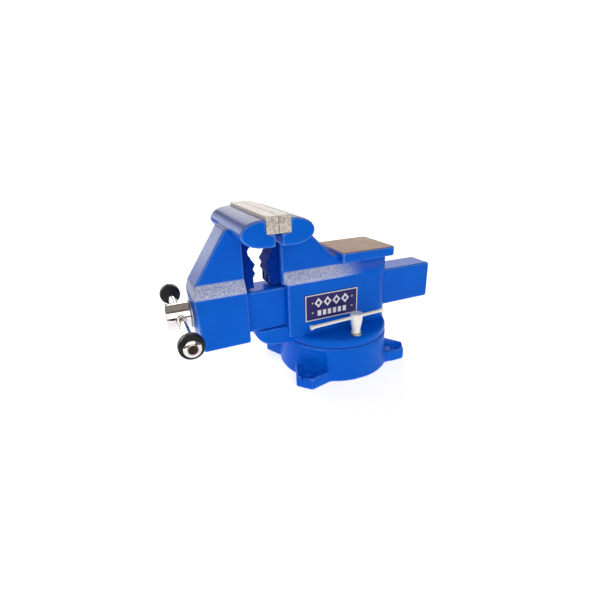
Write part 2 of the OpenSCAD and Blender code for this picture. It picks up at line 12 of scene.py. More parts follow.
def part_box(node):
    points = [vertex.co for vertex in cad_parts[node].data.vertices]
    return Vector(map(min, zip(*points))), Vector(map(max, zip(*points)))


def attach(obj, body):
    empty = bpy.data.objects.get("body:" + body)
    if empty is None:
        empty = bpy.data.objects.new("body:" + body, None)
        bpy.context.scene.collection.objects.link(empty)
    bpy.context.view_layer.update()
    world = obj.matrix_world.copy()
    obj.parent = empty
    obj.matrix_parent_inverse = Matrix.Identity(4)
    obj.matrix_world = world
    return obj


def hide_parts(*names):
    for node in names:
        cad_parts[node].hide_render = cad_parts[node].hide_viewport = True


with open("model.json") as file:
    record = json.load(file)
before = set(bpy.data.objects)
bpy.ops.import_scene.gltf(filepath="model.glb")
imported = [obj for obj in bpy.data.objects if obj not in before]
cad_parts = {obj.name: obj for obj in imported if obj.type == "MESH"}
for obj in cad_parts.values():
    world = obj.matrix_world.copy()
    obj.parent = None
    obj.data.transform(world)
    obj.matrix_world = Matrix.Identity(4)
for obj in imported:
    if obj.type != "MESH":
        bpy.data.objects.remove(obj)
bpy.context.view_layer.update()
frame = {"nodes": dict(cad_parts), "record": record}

bl_info = {
    "name": "Bench and pipe vise",
    "version": (1, 0, 0),
    "blender": (4, 5, 0),
    "location": "3D View > Sidebar > Vise",
    "description": "Finishes a bench and pipe vise: castings, screw, handle, locks and plate",
    "category": "Object",
}

MM = 0.001
ACROSS = Vector((0, 1, 0))
UPWARD = Vector((0, 0, 1))
ROUND = 96  # points round a ring or a cap
THREAD_SIDES = 48
WINDOW = 16  # points along a side of the square left open round the spindle head's cross hole
BETWEEN = 22  # points from one such square to the next, round the head


# ---------------------------------------------------------------- where things are

def corners(node):
    """Lowest and highest corner of a CAD node, as two arrays in metres."""
    lo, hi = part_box(node)
    return np.array(lo), np.array(hi)


def middle(node):
    """Middle of a CAD node's box, in metres."""
    lo, hi = corners(node)
    return (lo + hi) / 2


def mesh_points(mesh):
    """All points of a mesh, as an array of rows."""
    points = np.zeros(len(mesh.vertices) * 3)
    mesh.vertices.foreach_get("co", points)
    return points.reshape(-1, 3)


def set_value(mesh, key, numbers):
    """Keeps one number for each point of a mesh under a name."""
    layer = mesh.attributes.new(key, "FLOAT", "POINT")
    layer.data.foreach_set("value", np.asarray(numbers, np.float32))


def merge_doubles(mesh, distance, outward=False):
    """Merges points closer than a distance, and turns the faces of a closed mesh outward if asked."""
    shape = bmesh.new()
    shape.from_mesh(mesh)
    bmesh.ops.remove_doubles(shape, verts=shape.verts, dist=distance)
    if outward:
        bmesh.ops.recalc_face_normals(shape, faces=shape.faces)
    shape.to_mesh(mesh)
    shape.free()


def step_up(x, low, high):
    """0 below low, 1 above high, and a smooth cubic between: s * s * (3 - 2s)."""
    s = np.clip((x - low) / (high - low), 0, 1)
    return s * s * (3 - 2 * s)


# ---------------------------------------------------------------- surfaces on grids

def grid_faces(rows, cols, wrap_rows=False, wrap_cols=False):
    """Quads between the points of a rows by cols grid, closed round either way where asked."""
    a, b = np.meshgrid(
        np.arange(rows if wrap_rows else rows - 1),
        np.arange(cols if wrap_cols else cols - 1),
        indexing="ij",
    )
    c, d = (a + 1) % rows, (b + 1) % cols
    return np.stack([a * cols + b, c * cols + b, c * cols + d, a * cols + d], -1).reshape(-1, 4)


def side_axes(axis):
    """Two unit vectors square to an axis and to each other."""
    axis = np.array(axis, float)
    other = np.array([0.0, 0.0, 1.0]) if abs(axis[2]) < 0.9 else np.array([1.0, 0.0, 0.0])
    u = np.cross(other, axis)
    u /= np.linalg.norm(u)
    return u, np.cross(axis, u)


def revolve(profile, base, axis, angles, closed=False):
    """Turns a profile of (distance out, distance along) round an axis.

    A point is base + along * axis + out * (cos(t) * u + sin(t) * v), where u and v are square to the
    axis and t runs over a full turn in as many steps as there are angles.
    """
    profile = np.asarray(profile, float)
    t = np.linspace(0, 2 * math.pi, angles, endpoint=False)
    u, v = side_axes(axis)
    ring = np.cos(t)[:, None] * u + np.sin(t)[:, None] * v
    points = (
        np.asarray(base, float)
        + profile[:, 1][:, None, None] * np.array(axis, float)
        + profile[:, 0][:, None, None] * ring[None]
    )
    return points.reshape(-1, 3), grid_faces(len(profile), len(t), closed, True)


def rounded(points, radius, steps=4):
    """A line of points with each inner corner swapped for a curve.

    The curve is the quadratic from a point one radius before the corner to one radius after it, with
    the corner as its handle: (1-t)^2 * before + 2t(1-t) * corner + t^2 * after. The radius is a single
    value or one per inner corner, and is held under 0.45 of the shorter side.
    """
    points = np.asarray(points, float)
    radii = np.broadcast_to(radius, (len(points) - 2,))
    t = np.linspace(0, 1, steps + 1)[:, None]
    line = [points[:1]]
    for a, p, b, r in zip(points[:-2], points[1:-1], points[2:], radii):
        before, after = a - p, b - p
        la, lb = np.linalg.norm(before), np.linalg.norm(after)
        r = min(r, 0.45 * la, 0.45 * lb)
        start, end = p + before * r / la, p + after * r / lb
        line.append((1 - t) ** 2 * start + 2 * t * (1 - t) * p + t**2 * end)
    line.append(points[-1:])
    return np.concatenate(line)


def tube(path, radius, sides, frame_axis):
    """A round tube along a path of points, with flat ends.

    Each ring is path + radius * (cos(k) * n + sin(k) * b), where b is square to the path's direction
    and to frame_axis, and n is square to both.
    """
    path = np.asarray(path, float)
    tangent = np.gradient(path, axis=0)
    tangent /= np.linalg.norm(tangent, axis=1)[:, None]
    b = np.cross(tangent, frame_axis)
    b /= np.linalg.norm(b, axis=1)[:, None]
    n = np.cross(b, tangent)
    k = np.linspace(0, 2 * math.pi, sides, endpoint=False)
    rings = path[:, None] + radius * (
        np.cos(k)[None, :, None] * n[:, None] + np.sin(k)[None, :, None] * b[:, None]
    )
    first = np.repeat(path[:1], sides, 0)[None]
    last = np.repeat(path[-1:], sides, 0)[None]
    rings = np.concatenate([first, rings, last])
    return rings.reshape(-1, 3), grid_faces(len(path) + 2, sides, False, True)


def join_surfaces(*surfaces):
    """Several (points, quads) surfaces as one."""
    points, faces, start = [], [], 0
    for p, f in surfaces:
        points.append(p)
        faces.append(f + start)
        start += len(p)
    return np.concatenate(points), np.concatenate(faces)


def finish_piece(obj, body, material, nodes):
    """Puts a made piece on its body, gives it its finish and hides the CAD nodes it stands for."""
    obj.data.materials.clear()
    obj.data.materials.append(material)
    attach(obj, body)
    if nodes:
        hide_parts(*nodes)
    return obj


def add_piece(name, surface, body, material, nodes=(), sharp=40.0, values=None):
    """Makes a mesh piece from (points, quads) in metres: doubles merged, faces outward, smooth.

    Edges that turn more than the sharp angle stay sharp. Values are named numbers for each point.
    """
    points, faces = surface
    mesh = bpy.data.meshes.new(name)
    mesh.from_pydata(points.tolist(), [], faces.tolist())
    for key, numbers in (values or {}).items():
        set_value(mesh, key, numbers)
    merge_doubles(mesh, 1e-6, True)
    mesh.polygons.foreach_set("use_smooth", np.ones(len(mesh.polygons), bool))
    mesh.set_sharp_from_angle(angle=math.radians(sharp))
    obj = bpy.data.objects.new(name, mesh)
    bpy.context.scene.collection.objects.link(obj)
    return finish_piece(obj, body, material, nodes)


# ---------------------------------------------------------------- castings

def merged_copy(node, name):
    """A new object with a copy of a CAD node's mesh, its loose triangles merged."""
    mesh = frame["nodes"][node].data.copy()
    mesh.name = name
    merge_doubles(mesh, 2e-6)
    obj = bpy.data.objects.new(name, mesh)
    bpy.context.scene.collection.objects.link(obj)
    return obj


def neighbour_mean(values, first, second, count):
    """Mean of the values at each point's neighbours along the edges."""
    sums = [
        np.bincount(first, column[second], len(values))
        + np.bincount(second, column[first], len(values))
        for column in values.reshape(len(values), -1).T
    ]
    return (np.stack(sums, -1) / count[:, None]).reshape(values.shape)


def cast_piece(node, name, cell, passes, hold=None):
    """A casting's surface with its edges and corners rounded as a foundry pattern's are.

    The CAD surface is sampled on a lattice of cells. Each point then moves half way to the mean of its
    neighbours, as many times as there are passes, so flat faces stay where they are and edges turn into
    fillets. hold(points) gives a share from 0 to 1 by which a point is kept from moving. The signed
    distance that a point lies above its neighbours' mean, in cells, is kept as the value "edge".
    """
    obj = merged_copy(node, name)
    remesh = obj.modifiers.new("Lattice", "REMESH")
    remesh.mode = "VOXEL"
    remesh.voxel_size = cell
    bpy.context.view_layer.update()
    evaluated = obj.evaluated_get(bpy.context.evaluated_depsgraph_get())
    mesh = bpy.data.meshes.new_from_object(evaluated)
    obj.modifiers.clear()
    obj.data = mesh
    points = mesh_points(mesh)
    edges = np.zeros(len(mesh.edges) * 2, int)
    mesh.edges.foreach_get("vertices", edges)
    first, second = edges.reshape(-1, 2).T
    count = np.bincount(first, minlength=len(points)) + np.bincount(second, minlength=len(points))
    share = np.full(len(points), 0.5)
    if hold is not None:
        share *= 1 - hold(points)
    for _ in range(passes):
        points += share[:, None] * (neighbour_mean(points, first, second, count) - points)
    mesh.vertices.foreach_set("co", points.ravel())
    mesh.update()
    normals = np.zeros(len(mesh.vertices) * 3)
    mesh.vertex_normals.foreach_get("vector", normals)
    normals = normals.reshape(-1, 3)
    rise = ((points - neighbour_mean(points, first, second, count)) * normals).sum(-1) / cell
    for _ in range(2):
        rise = (rise + neighbour_mean(rise, first, second, count)) / 2
    set_value(mesh, "edge", rise)
    mesh.polygons.foreach_set("use_smooth", np.ones(len(mesh.polygons), bool))
    return obj, points, normals


# ---------------------------------------------------------------- node materials

def math_node(tree, operation, a, b=None, clamp=False):
    """A maths node on two values or sockets."""
    node = tree.nodes.new("ShaderNodeMath")
    node.operation = operation
    node.use_clamp = clamp
    for socket, value in zip(node.inputs, (a, b)):
        if value is None:
            continue
        if isinstance(value, (int, float)):
            socket.default_value = value
        else:
            tree.links.new(value, socket)
    return node.outputs[0]


def spread(tree, value, low, high, out_low, out_high):
    """Maps a value from one range to another, held inside it."""
    node = tree.nodes.new("ShaderNodeMapRange")
    tree.links.new(value, node.inputs["Value"])
    node.inputs["From Min"].default_value = low
    node.inputs["From Max"].default_value = high
    node.inputs["To Min"].default_value = out_low
    node.inputs["To Max"].default_value = out_high
    return node.outputs["Result"]


def blend_colours(tree, mask, first, second):
    """Mixes two colours, each a tuple or a socket, by a mask."""
    node = tree.nodes.new("ShaderNodeMix")
    node.data_type = "RGBA"
    tree.links.new(mask, node.inputs["Factor"])
    for socket, value in zip([s for s in node.inputs if s.type == "RGBA"], (first, second)):
        if isinstance(value, bpy.types.NodeSocket):
            tree.links.new(value, socket)
        else:
            socket.default_value = (*value[:3], 1.0)
    return [s for s in node.outputs if s.type == "RGBA"][0]


def blend_values(tree, mask, first, second):
    """Mixes two values, each a number or a socket, by a mask."""
    node = tree.nodes.new("ShaderNodeMix")
    node.data_type = "FLOAT"
    tree.links.new(mask, node.inputs[0])
    for socket, value in ((node.inputs[2], first), (node.inputs[3], second)):
        if isinstance(value, (int, float)):
            socket.default_value = value
        else:
            tree.links.new(value, socket)
    return node.outputs[0]


def new_group(name, inputs, outputs):
    """An empty shader node group with float or vector inputs and float outputs."""
    group = bpy.data.node_groups.new(name, "ShaderNodeTree")
    for key, kind, value in inputs:
        socket = group.interface.new_socket(name=key, in_out="INPUT", socket_type=kind)
        if value is not None:
            socket.default_value = value
    for key in outputs:
        group.interface.new_socket(name=key, in_out="OUTPUT", socket_type="NodeSocketFloat")
    return group, group.nodes.new("NodeGroupInput"), group.nodes.new("NodeGroupOutput")


def grain_group():
    """Soft grain: fractal noise of the given scale, with its contrast stretched about one half."""
    group, start, end = new_group(
        "Grain",
        [("Vector", "NodeSocketVector", None), ("Scale", "NodeSocketFloat", 100.0),
         ("Contrast", "NodeSocketFloat", 1.0)],
        ["Value"],
    )
    noise = group.nodes.new("ShaderNodeTexNoise")
    noise.inputs["Detail"].default_value = 5.0
    noise.inputs["Roughness"].default_value = 0.6
    group.links.new(start.outputs["Vector"], noise.inputs["Vector"])
    group.links.new(start.outputs["Scale"], noise.inputs["Scale"])
    centred = math_node(group, "SUBTRACT", noise.outputs["Fac"], 0.5)
    stretched = math_node(group, "MULTIPLY", centred, start.outputs["Contrast"])
    group.links.new(math_node(group, "ADD", stretched, 0.5, clamp=True), end.inputs["Value"])
    return group


def pale_edge_group():
    """Pale edges, also used as painted highlight: the edge value above a threshold, broken up by noise."""
    group, start, end = new_group(
        "Edge wear",
        [("Vector", "NodeSocketVector", None), ("Edge", "NodeSocketFloat", 0.0),
         ("Threshold", "NodeSocketFloat", 0.05), ("Amount", "NodeSocketFloat", 1.0),
         ("Break-up", "NodeSocketFloat", 200.0)],
        ["Mask"],
    )
    noise = group.nodes.new("ShaderNodeTexNoise")
    noise.inputs["Detail"].default_value = 6.0
    group.links.new(start.outputs["Vector"], noise.inputs["Vector"])
    group.links.new(start.outputs["Break-up"], noise.inputs["Scale"])
    above = math_node(group, "SUBTRACT", start.outputs["Edge"], start.outputs["Threshold"])
    lift = math_node(group, "MULTIPLY", math_node(group, "MAXIMUM", above, 0.0), 8.0)
    rough = math_node(group, "MULTIPLY", lift, math_node(group, "MULTIPLY", noise.outputs["Fac"], 2.0))
    group.links.new(
        math_node(group, "MULTIPLY", rough, start.outputs["Amount"], clamp=True), end.inputs["Mask"]
    )
    return group


def brush_group():
    """Tool marks: noise stretched a hundredfold along one direction, given by the stretch vector."""
    group, start, end = new_group(
        "Tool marks",
        [("Vector", "NodeSocketVector", None), ("Stretch", "NodeSocketVector", (1.0, 1.0, 1.0)),
         ("Scale", "NodeSocketFloat", 100.0)],
        ["Value"],
    )
    scaled = group.nodes.new("ShaderNodeVectorMath")
    scaled.operation = "MULTIPLY"
    group.links.new(start.outputs["Vector"], scaled.inputs[0])
    group.links.new(start.outputs["Stretch"], scaled.inputs[1])
    noise = group.nodes.new("ShaderNodeTexNoise")
    noise.inputs["Detail"].default_value = 3.0
    group.links.new(scaled.outputs["Vector"], noise.inputs["Vector"])
    group.links.new(start.outputs["Scale"], noise.inputs["Scale"])
    group.links.new(noise.outputs["Fac"], end.inputs["Value"])
    return group


GROUPS = {}


def group_node(tree, name, vector, **settings):
    """One of the shared groups, with its inputs set to numbers or linked to sockets."""
    if not GROUPS:
        GROUPS.update({"Grain": grain_group(), "Edge wear": pale_edge_group(), "Tool marks": brush_group()})
    node = tree.nodes.new("ShaderNodeGroup")
    node.node_tree = GROUPS[name]
    tree.links.new(vector, node.inputs["Vector"])
    for key, value in settings.items():
        socket = node.inputs[key]
        if isinstance(value, bpy.types.NodeSocket):
            tree.links.new(value, socket)
        else:
            socket.default_value = value
    return node.outputs[0]


def new_material(name, colour, roughness, metallic=0.0):
    """A material with one Principled shader, and the sockets most pieces need."""
    material = bpy.data.materials.new(name)
    material.use_nodes = True
    tree = material.node_tree
    shader = tree.nodes["Principled BSDF"]
    shader.inputs["Base Color"].default_value = (*colour, 1.0)
    shader.inputs["Roughness"].default_value = roughness
    shader.inputs["Metallic"].default_value = metallic
    place = tree.nodes.new("ShaderNodeTexCoord").outputs["Object"]
    return material, tree, shader, place


def value_of(tree, key):
    """The named value of the mesh's points."""
    node = tree.nodes.new("ShaderNodeAttribute")
    node.attribute_name = key
    return node.outputs["Fac"]


def bump(tree, shader, height, distance, strength=1.0):
    """Feeds a height through a bump node into the shader's normal."""
    node = tree.nodes.new("ShaderNodeBump")
    node.inputs["Strength"].default_value = strength
    node.inputs["Distance"].default_value = distance
    tree.links.new(height, node.inputs["Height"])
    tree.links.new(node.outputs["Normal"], shader.inputs["Normal"])


def part_of(tree, vector, key):
    """The X, Y or Z part of a vector."""
    parts = tree.nodes.new("ShaderNodeSeparateXYZ")
    tree.links.new(vector, parts.inputs[0])
    return parts.outputs[key]


def own_normal(tree):
    """The surface's normal in the piece's own axes, which turns with the piece."""
    return tree.nodes.new("ShaderNodeTexCoord").outputs["Normal"]


def facing_up(tree):
    """A mask that rises from 0 on upright faces to 1 on level ones."""
    return spread(tree, part_of(tree, own_normal(tree), "Z"), 0.15, 0.9, 0.0, 1.0)


def high_up(tree, place, low, high):
    """A mask that rises from 0 to 1 between two heights, in metres."""
    return spread(tree, part_of(tree, place, "Z"), low, high, 0.0, 1.0)


def enamel_material(looks):
    """Blue enamel on cast iron.

    The colour drifts slowly and pales on edges, where thin enamel stands in for a painted edge highlight.
    On the rough cast slopes it turns to a silvery speckle, a painted glint of the light those slopes catch.
    A pale layer on the high upper faces is painted reflection of the bright backdrop, and partly a dusty
    coat. Where the value "bare" is 1 the iron is machined and unpainted.
    """
    material, tree, shader, place = new_material("blue_enamel_finish", looks.enamel, 0.3)
    link = tree.links.new
    drift = group_node(tree, "Grain", place, Scale=14.0, Contrast=1.6)
    peel = group_node(tree, "Grain", place, Scale=260.0, Contrast=1.0)
    rough = value_of(tree, "rough_cast_and_glint")
    bare = value_of(tree, "bare")
    crumble = group_node(tree, "Grain", place, Scale=430.0, Contrast=2.6)
    # Painted glint: a white speckle for the light that the rough cast slopes catch
    glint_speckle = group_node(tree, "Grain", place, Scale=620.0, Contrast=5.0)
    # Painted edge highlight: convex edges pale, given as thin enamel
    pale_edges = group_node(tree, "Edge wear", place, Edge=value_of(tree, "edge"), Threshold=0.048,
                      Amount=looks.edge_wear_and_highlight)
    marks = group_node(tree, "Tool marks", place, Stretch=(0.04, 1.0, 1.0), Scale=900.0)
    stain = group_node(tree, "Grain", place, Scale=28.0, Contrast=2.2)

    enamel = blend_colours(tree, drift, looks.enamel_deep, looks.enamel)
    enamel = blend_colours(tree, math_node(tree, "MULTIPLY", pale_edges, 0.6), enamel, looks.thin_enamel_highlight)
    painted_glint = blend_colours(tree, glint_speckle, looks.glint_low, looks.glint_high)
    glint_share = math_node(tree, "MULTIPLY", rough, spread(tree, crumble, 0.15, 0.6, 0.55, 1.0))
    painted = blend_colours(tree, glint_share, enamel, painted_glint)
    # Painted reflection of the bright backdrop on level faces, partly a dusty coat; kept off the low faces
    # that lie in shade under the body
    dusty_sheen = math_node(tree, "MULTIPLY", facing_up(tree), looks.pale_cover)
    dusty_sheen = math_node(tree, "MULTIPLY", dusty_sheen, high_up(tree, place, 0.15, 0.165))
    painted = blend_colours(tree, dusty_sheen, painted, looks.dust_and_sheen_colour)
    iron = blend_colours(tree, stain, looks.iron_brown, looks.iron_grey)
    link(blend_colours(tree, bare, painted, iron), shader.inputs["Base Color"])
    link(math_node(tree, "MULTIPLY", bare, 0.25), shader.inputs["Metallic"])

    enamel_rough = spread(tree, peel, 0.2, 0.8, 0.24, 0.34)
    enamel_rough = blend_values(tree, rough, enamel_rough, 0.5)
    iron_rough = spread(tree, marks, 0.3, 0.7, 0.3, 0.48)
    link(blend_values(tree, bare, enamel_rough, iron_rough), shader.inputs["Roughness"])
    shader.inputs["Specular IOR Level"].default_value = 0.08

    height = math_node(tree, "MULTIPLY", peel, 0.035)
    for pattern, mask, share in ((crumble, rough, 0.9), (marks, bare, 0.08)):
        masked = math_node(tree, "MULTIPLY", pattern, mask)
        height = math_node(tree, "ADD", height, math_node(tree, "MULTIPLY", masked, share))
    bump(tree, shader, height, 0.0012)
    return material


def dark_enamel_material(looks):
    """Deep blue enamel of the pipe jaws, paler on the crests of the teeth."""
    material, tree, shader, place = new_material("pipe_jaw_enamel", looks.enamel_deep, 0.4)
    grain = group_node(tree, "Grain", place, Scale=300.0, Contrast=1.4)
    pale_edges = group_node(tree, "Edge wear", place, Edge=value_of(tree, "edge"), Threshold=0.1, Amount=0.4)
    colour = blend_colours(tree, grain, looks.pipe_low, looks.pipe_high)
    tree.links.new(blend_colours(tree, pale_edges, colour, looks.pipe_rubbed), shader.inputs["Base Color"])
    shader.inputs["Specular IOR Level"].default_value = 0.03
    tree.links.new(spread(tree, grain, 0.2, 0.8, 0.45, 0.62), shader.inputs["Roughness"])
    bump(tree, shader, grain, 0.0003, 0.5)
    return material


def metal_material(name, light, dark, tarnish_and_shade, roughness, scale, stretch, depth):
    """Worked metal: tool marks along one direction, a slow drift of colour and of gloss.

    Where the dish value is 1 the metal is dull and dark: duller plating, and painted shade of the dish.
    """
    material, tree, shader, place = new_material(name, light, roughness, 1.0)
    marks = group_node(tree, "Tool marks", place, Stretch=stretch, Scale=scale)
    drift = group_node(tree, "Grain", place, Scale=60.0, Contrast=1.8)
    mixed = math_node(tree, "ADD", math_node(tree, "MULTIPLY", marks, 0.4), math_node(
        tree, "MULTIPLY", drift, 0.6))
    dull = value_of(tree, "tarnish_and_shade")
    metal = blend_colours(tree, mixed, dark, light)
    tree.links.new(blend_colours(tree, dull, metal, tarnish_and_shade), shader.inputs["Base Color"])
    gloss = spread(tree, mixed, 0.3, 0.7, roughness * 1.35, roughness * 0.8)
    tree.links.new(blend_values(tree, dull, gloss, 0.5), shader.inputs["Roughness"])
    bump(tree, shader, marks, depth, 0.6)
    return material


def insert_material(looks):
    """Ground cream-white steel of the jaw inserts, mottled on the sawn ends, which face along Y."""
    material, tree, shader, place = new_material("ground_insert_steel", looks.insert, 0.42, 0.15)
    shader.inputs["Specular IOR Level"].default_value = 0.2
    marks = group_node(tree, "Tool marks", place, Stretch=(1.0, 0.03, 1.0), Scale=1400.0)
    mottle = group_node(tree, "Grain", place, Scale=420.0, Contrast=3.0)
    sideways = math_node(tree, "ABSOLUTE", part_of(tree, own_normal(tree), "Y"))
    ends = math_node(tree, "GREATER_THAN", sideways, 0.9)
    streaks = spread(tree, marks, 0.35, 0.65, 0.0, 1.0)
    colour = blend_colours(tree, streaks, looks.insert_shade, looks.insert)
    spots = math_node(tree, "MULTIPLY", ends, spread(tree, mottle, 0.35, 0.75, 0.0, 0.8))
    tree.links.new(blend_colours(tree, spots, colour, looks.insert_mottle), shader.inputs["Base Color"])
    tree.links.new(spread(tree, mottle, 0.2, 0.8, 0.3, 0.5), shader.inputs["Roughness"])
    pits = math_node(tree, "MULTIPLY", math_node(tree, "MULTIPLY", mottle, ends), 0.7)
    height = math_node(tree, "ADD", math_node(tree, "MULTIPLY", marks, 0.3), pits)
    bump(tree, shader, height, 0.0005, 0.5)
    return material


def rubber_material(looks):
    """Black rubber, dusty in places, with a fine moulded grain."""
    material, tree, shader, place = new_material("ring_rubber", looks.rubber, 0.38)
    shader.inputs["Specular IOR Level"].default_value = 0.25
    grain = group_node(tree, "Grain", place, Scale=700.0, Contrast=1.2)
    pale_cover = group_node(tree, "Grain", place, Scale=90.0, Contrast=2.4)
    tree.links.new(blend_colours(tree, spread(tree, pale_cover, 0.4, 0.9, 0.0, 0.5), looks.rubber,
                                 looks.rubber_dust), shader.inputs["Base Color"])
    tree.links.new(spread(tree, pale_cover, 0.2, 0.8, 0.28, 0.5), shader.inputs["Roughness"])
    bump(tree, shader, grain, 0.0002, 0.5)
    return material


def zinc_material(looks):
    """Pale cream satin plating of the swivel locks, with faint clouds and a cast grain."""
    material, tree, shader, place = new_material("pale_zinc_plating", looks.zinc, 0.35, 0.2)
    cloud = group_node(tree, "Grain", place, Scale=130.0, Contrast=1.8)
    grain = group_node(tree, "Grain", place, Scale=800.0, Contrast=1.2)
    tree.links.new(blend_colours(tree, cloud, looks.zinc_shade, looks.zinc), shader.inputs["Base Color"])
    tree.links.new(spread(tree, cloud, 0.2, 0.8, 0.42, 0.28), shader.inputs["Roughness"])
    bump(tree, shader, grain, 0.00015, 0.6)
    return material


def plate_material(looks):
    """The nameplate: dark ink in the sunk field, bright metal where the value "raised" is 1."""
    material, tree, shader, place = new_material("plate_ink_finish", looks.plate, 0.35)
    shader.inputs["Specular IOR Level"].default_value = 0.25
    raised = value_of(tree, "raised")
    grain = group_node(tree, "Grain", place, Scale=500.0, Contrast=1.6)
    ink = blend_colours(tree, grain, looks.plate, tuple(1.6 * c for c in looks.plate))
    metal = blend_colours(tree, grain, looks.relief_shade, looks.relief)
    sharp = spread(tree, raised, 0.35, 0.65, 0.0, 1.0)
    tree.links.new(blend_colours(tree, sharp, ink, metal), shader.inputs["Base Color"])
    tree.links.new(math_node(tree, "MULTIPLY", sharp, 0.2), shader.inputs["Metallic"])
    tree.links.new(spread(tree, grain, 0.2, 0.8, 0.28, 0.42), shader.inputs["Roughness"])
    bump(tree, shader, grain, 0.0001, 0.5)
    return material


MATERIALS = {}


def finishes():
    """All the finishes, made once."""
    if not MATERIALS:
        looks = bpy.context.scene.vise_looks
        fine, polish, coarse = 0.0002, 0.00002, 0.0003
        MATERIALS.update({
            "blue_enamel": enamel_material(looks),
            "pipe_enamel": dark_enamel_material(looks),
            "bare_steel": metal_material(
                "bare_steel_finish", looks.steel, looks.steel_shade, looks.tarnish_and_shade,
                0.34, 1500.0, (1.0, 1.0, 0.06), fine),
            "screw_steel": metal_material(
                "turned_screw_steel", looks.screw, looks.screw_shade, looks.tarnish_and_shade,
                0.3, 1500.0, (1.0, 0.08, 0.08), fine),
            "chrome": metal_material(
                "chrome_plating", looks.chrome, looks.chrome_shade, looks.tarnish_and_shade,
                0.09, 2200.0, (1.0, 0.2, 0.2), polish),
            "nut_bronze": metal_material(
                "nut_bronze_finish", looks.bronze, looks.bronze_shade, looks.tarnish_and_shade,
                0.36, 1200.0, (0.05, 1.0, 1.0), coarse),
            "black_rubber": rubber_material(looks),
            "ground_steel": insert_material(looks),
            "plate_ink": plate_material(looks),
            "pale_zinc": zinc_material(looks),
        })
    return MATERIALS


# ---------------------------------------------------------------- sizes and colours

def colour_setting(name, description, value):
    """A colour that a user may change."""
    return FloatVectorProperty(name=name, description=description, subtype="COLOR", size=3,
                               min=0.0, max=1.0, default=value)


def length_setting(name, description, value, low, high):
    """A length that a user may change. The numbers are in millimetres."""
    return FloatProperty(name=name, description=description, unit="LENGTH",
                         default=value * MM, min=low * MM, max=high * MM)


def light_setting(name, description, value, most):
    """A brightness that a user may change."""
    return FloatProperty(name=name, description=description, default=value, min=0.0, max=most)


class ViseCastingSettings(PropertyGroup):
    """Sizes of the castings' surfaces."""

    cell: length_setting("Cell", "Spacing of the lattice that the castings are sampled on", 1.7, 0.8, 4)
    passes: IntProperty(name="Rounding", description="How often the edges are eased",
                        default=6, min=0, max=30)
    tooth_cell: length_setting("Tooth cell", "Spacing of the lattice for the pipe jaws", 0.8, 0.4, 2)
    tooth_passes: IntProperty(name="Tooth rounding", description="How often the teeth are eased",
                              default=3, min=0, max=30)
    eased: length_setting("Eased edge", "Width of the bevel on small steel parts", 0.25, 0.05, 0.5)


class ViseScrewSettings(PropertyGroup):
    """Sizes of the spindle, its spring and the handle."""

    lead: length_setting("Lead", "Advance of the thread in one turn", 5, 2, 10)
    thread_depth: length_setting("Thread depth", "Depth of the thread", 1.6, 0.5, 3)
    shank: length_setting("Shank", "Radius of the spindle's shank and thread", 12, 8, 12)
    plain_part: length_setting("Plain part", "Length of shank before the thread starts", 60, 20, 90)
    bevel: length_setting("Head bevel", "Bevel of the spindle head's edges", 1.6, 0.5, 3)
    window: length_setting("Window", "Half the square of surface worked round the cross hole", 11, 10.5, 12)
    rim: length_setting("Rim", "Width of the rim round the cross hole", 1.1, 0.2, 2)
    play: length_setting("Play", "Room between the handle bar and its hole", 0.4, 0.1, 0.6)
    wire: length_setting("Spring wire", "Radius of the spring's wire", 1.3, 0.8, 1.5)
    neck_step: length_setting("Neck step", "How much thinner the bar's necks are", 1.5, 0.5, 3)


class ViseLockSettings(PropertyGroup):
    """Sizes of the swivel locks."""

    foot: length_setting("Foot", "Radius of the tall nut near its foot", 6.6, 5, 7)
    flare: length_setting("Flare", "How much wider the sliding bar is at its ends", 1.3, 0.5, 2)


class VisePlateSettings(PropertyGroup):
    """Sizes of the nameplate's relief."""

    border: length_setting("Border", "Width of the raised border", 1.5, 0.5, 4)
    relief: length_setting("Relief", "Height of the raised pattern", 0.45, 0.1, 0.8)
    rivet: length_setting("Rivet", "Radius of the rivets' heads", 1.8, 1.2, 2.5)


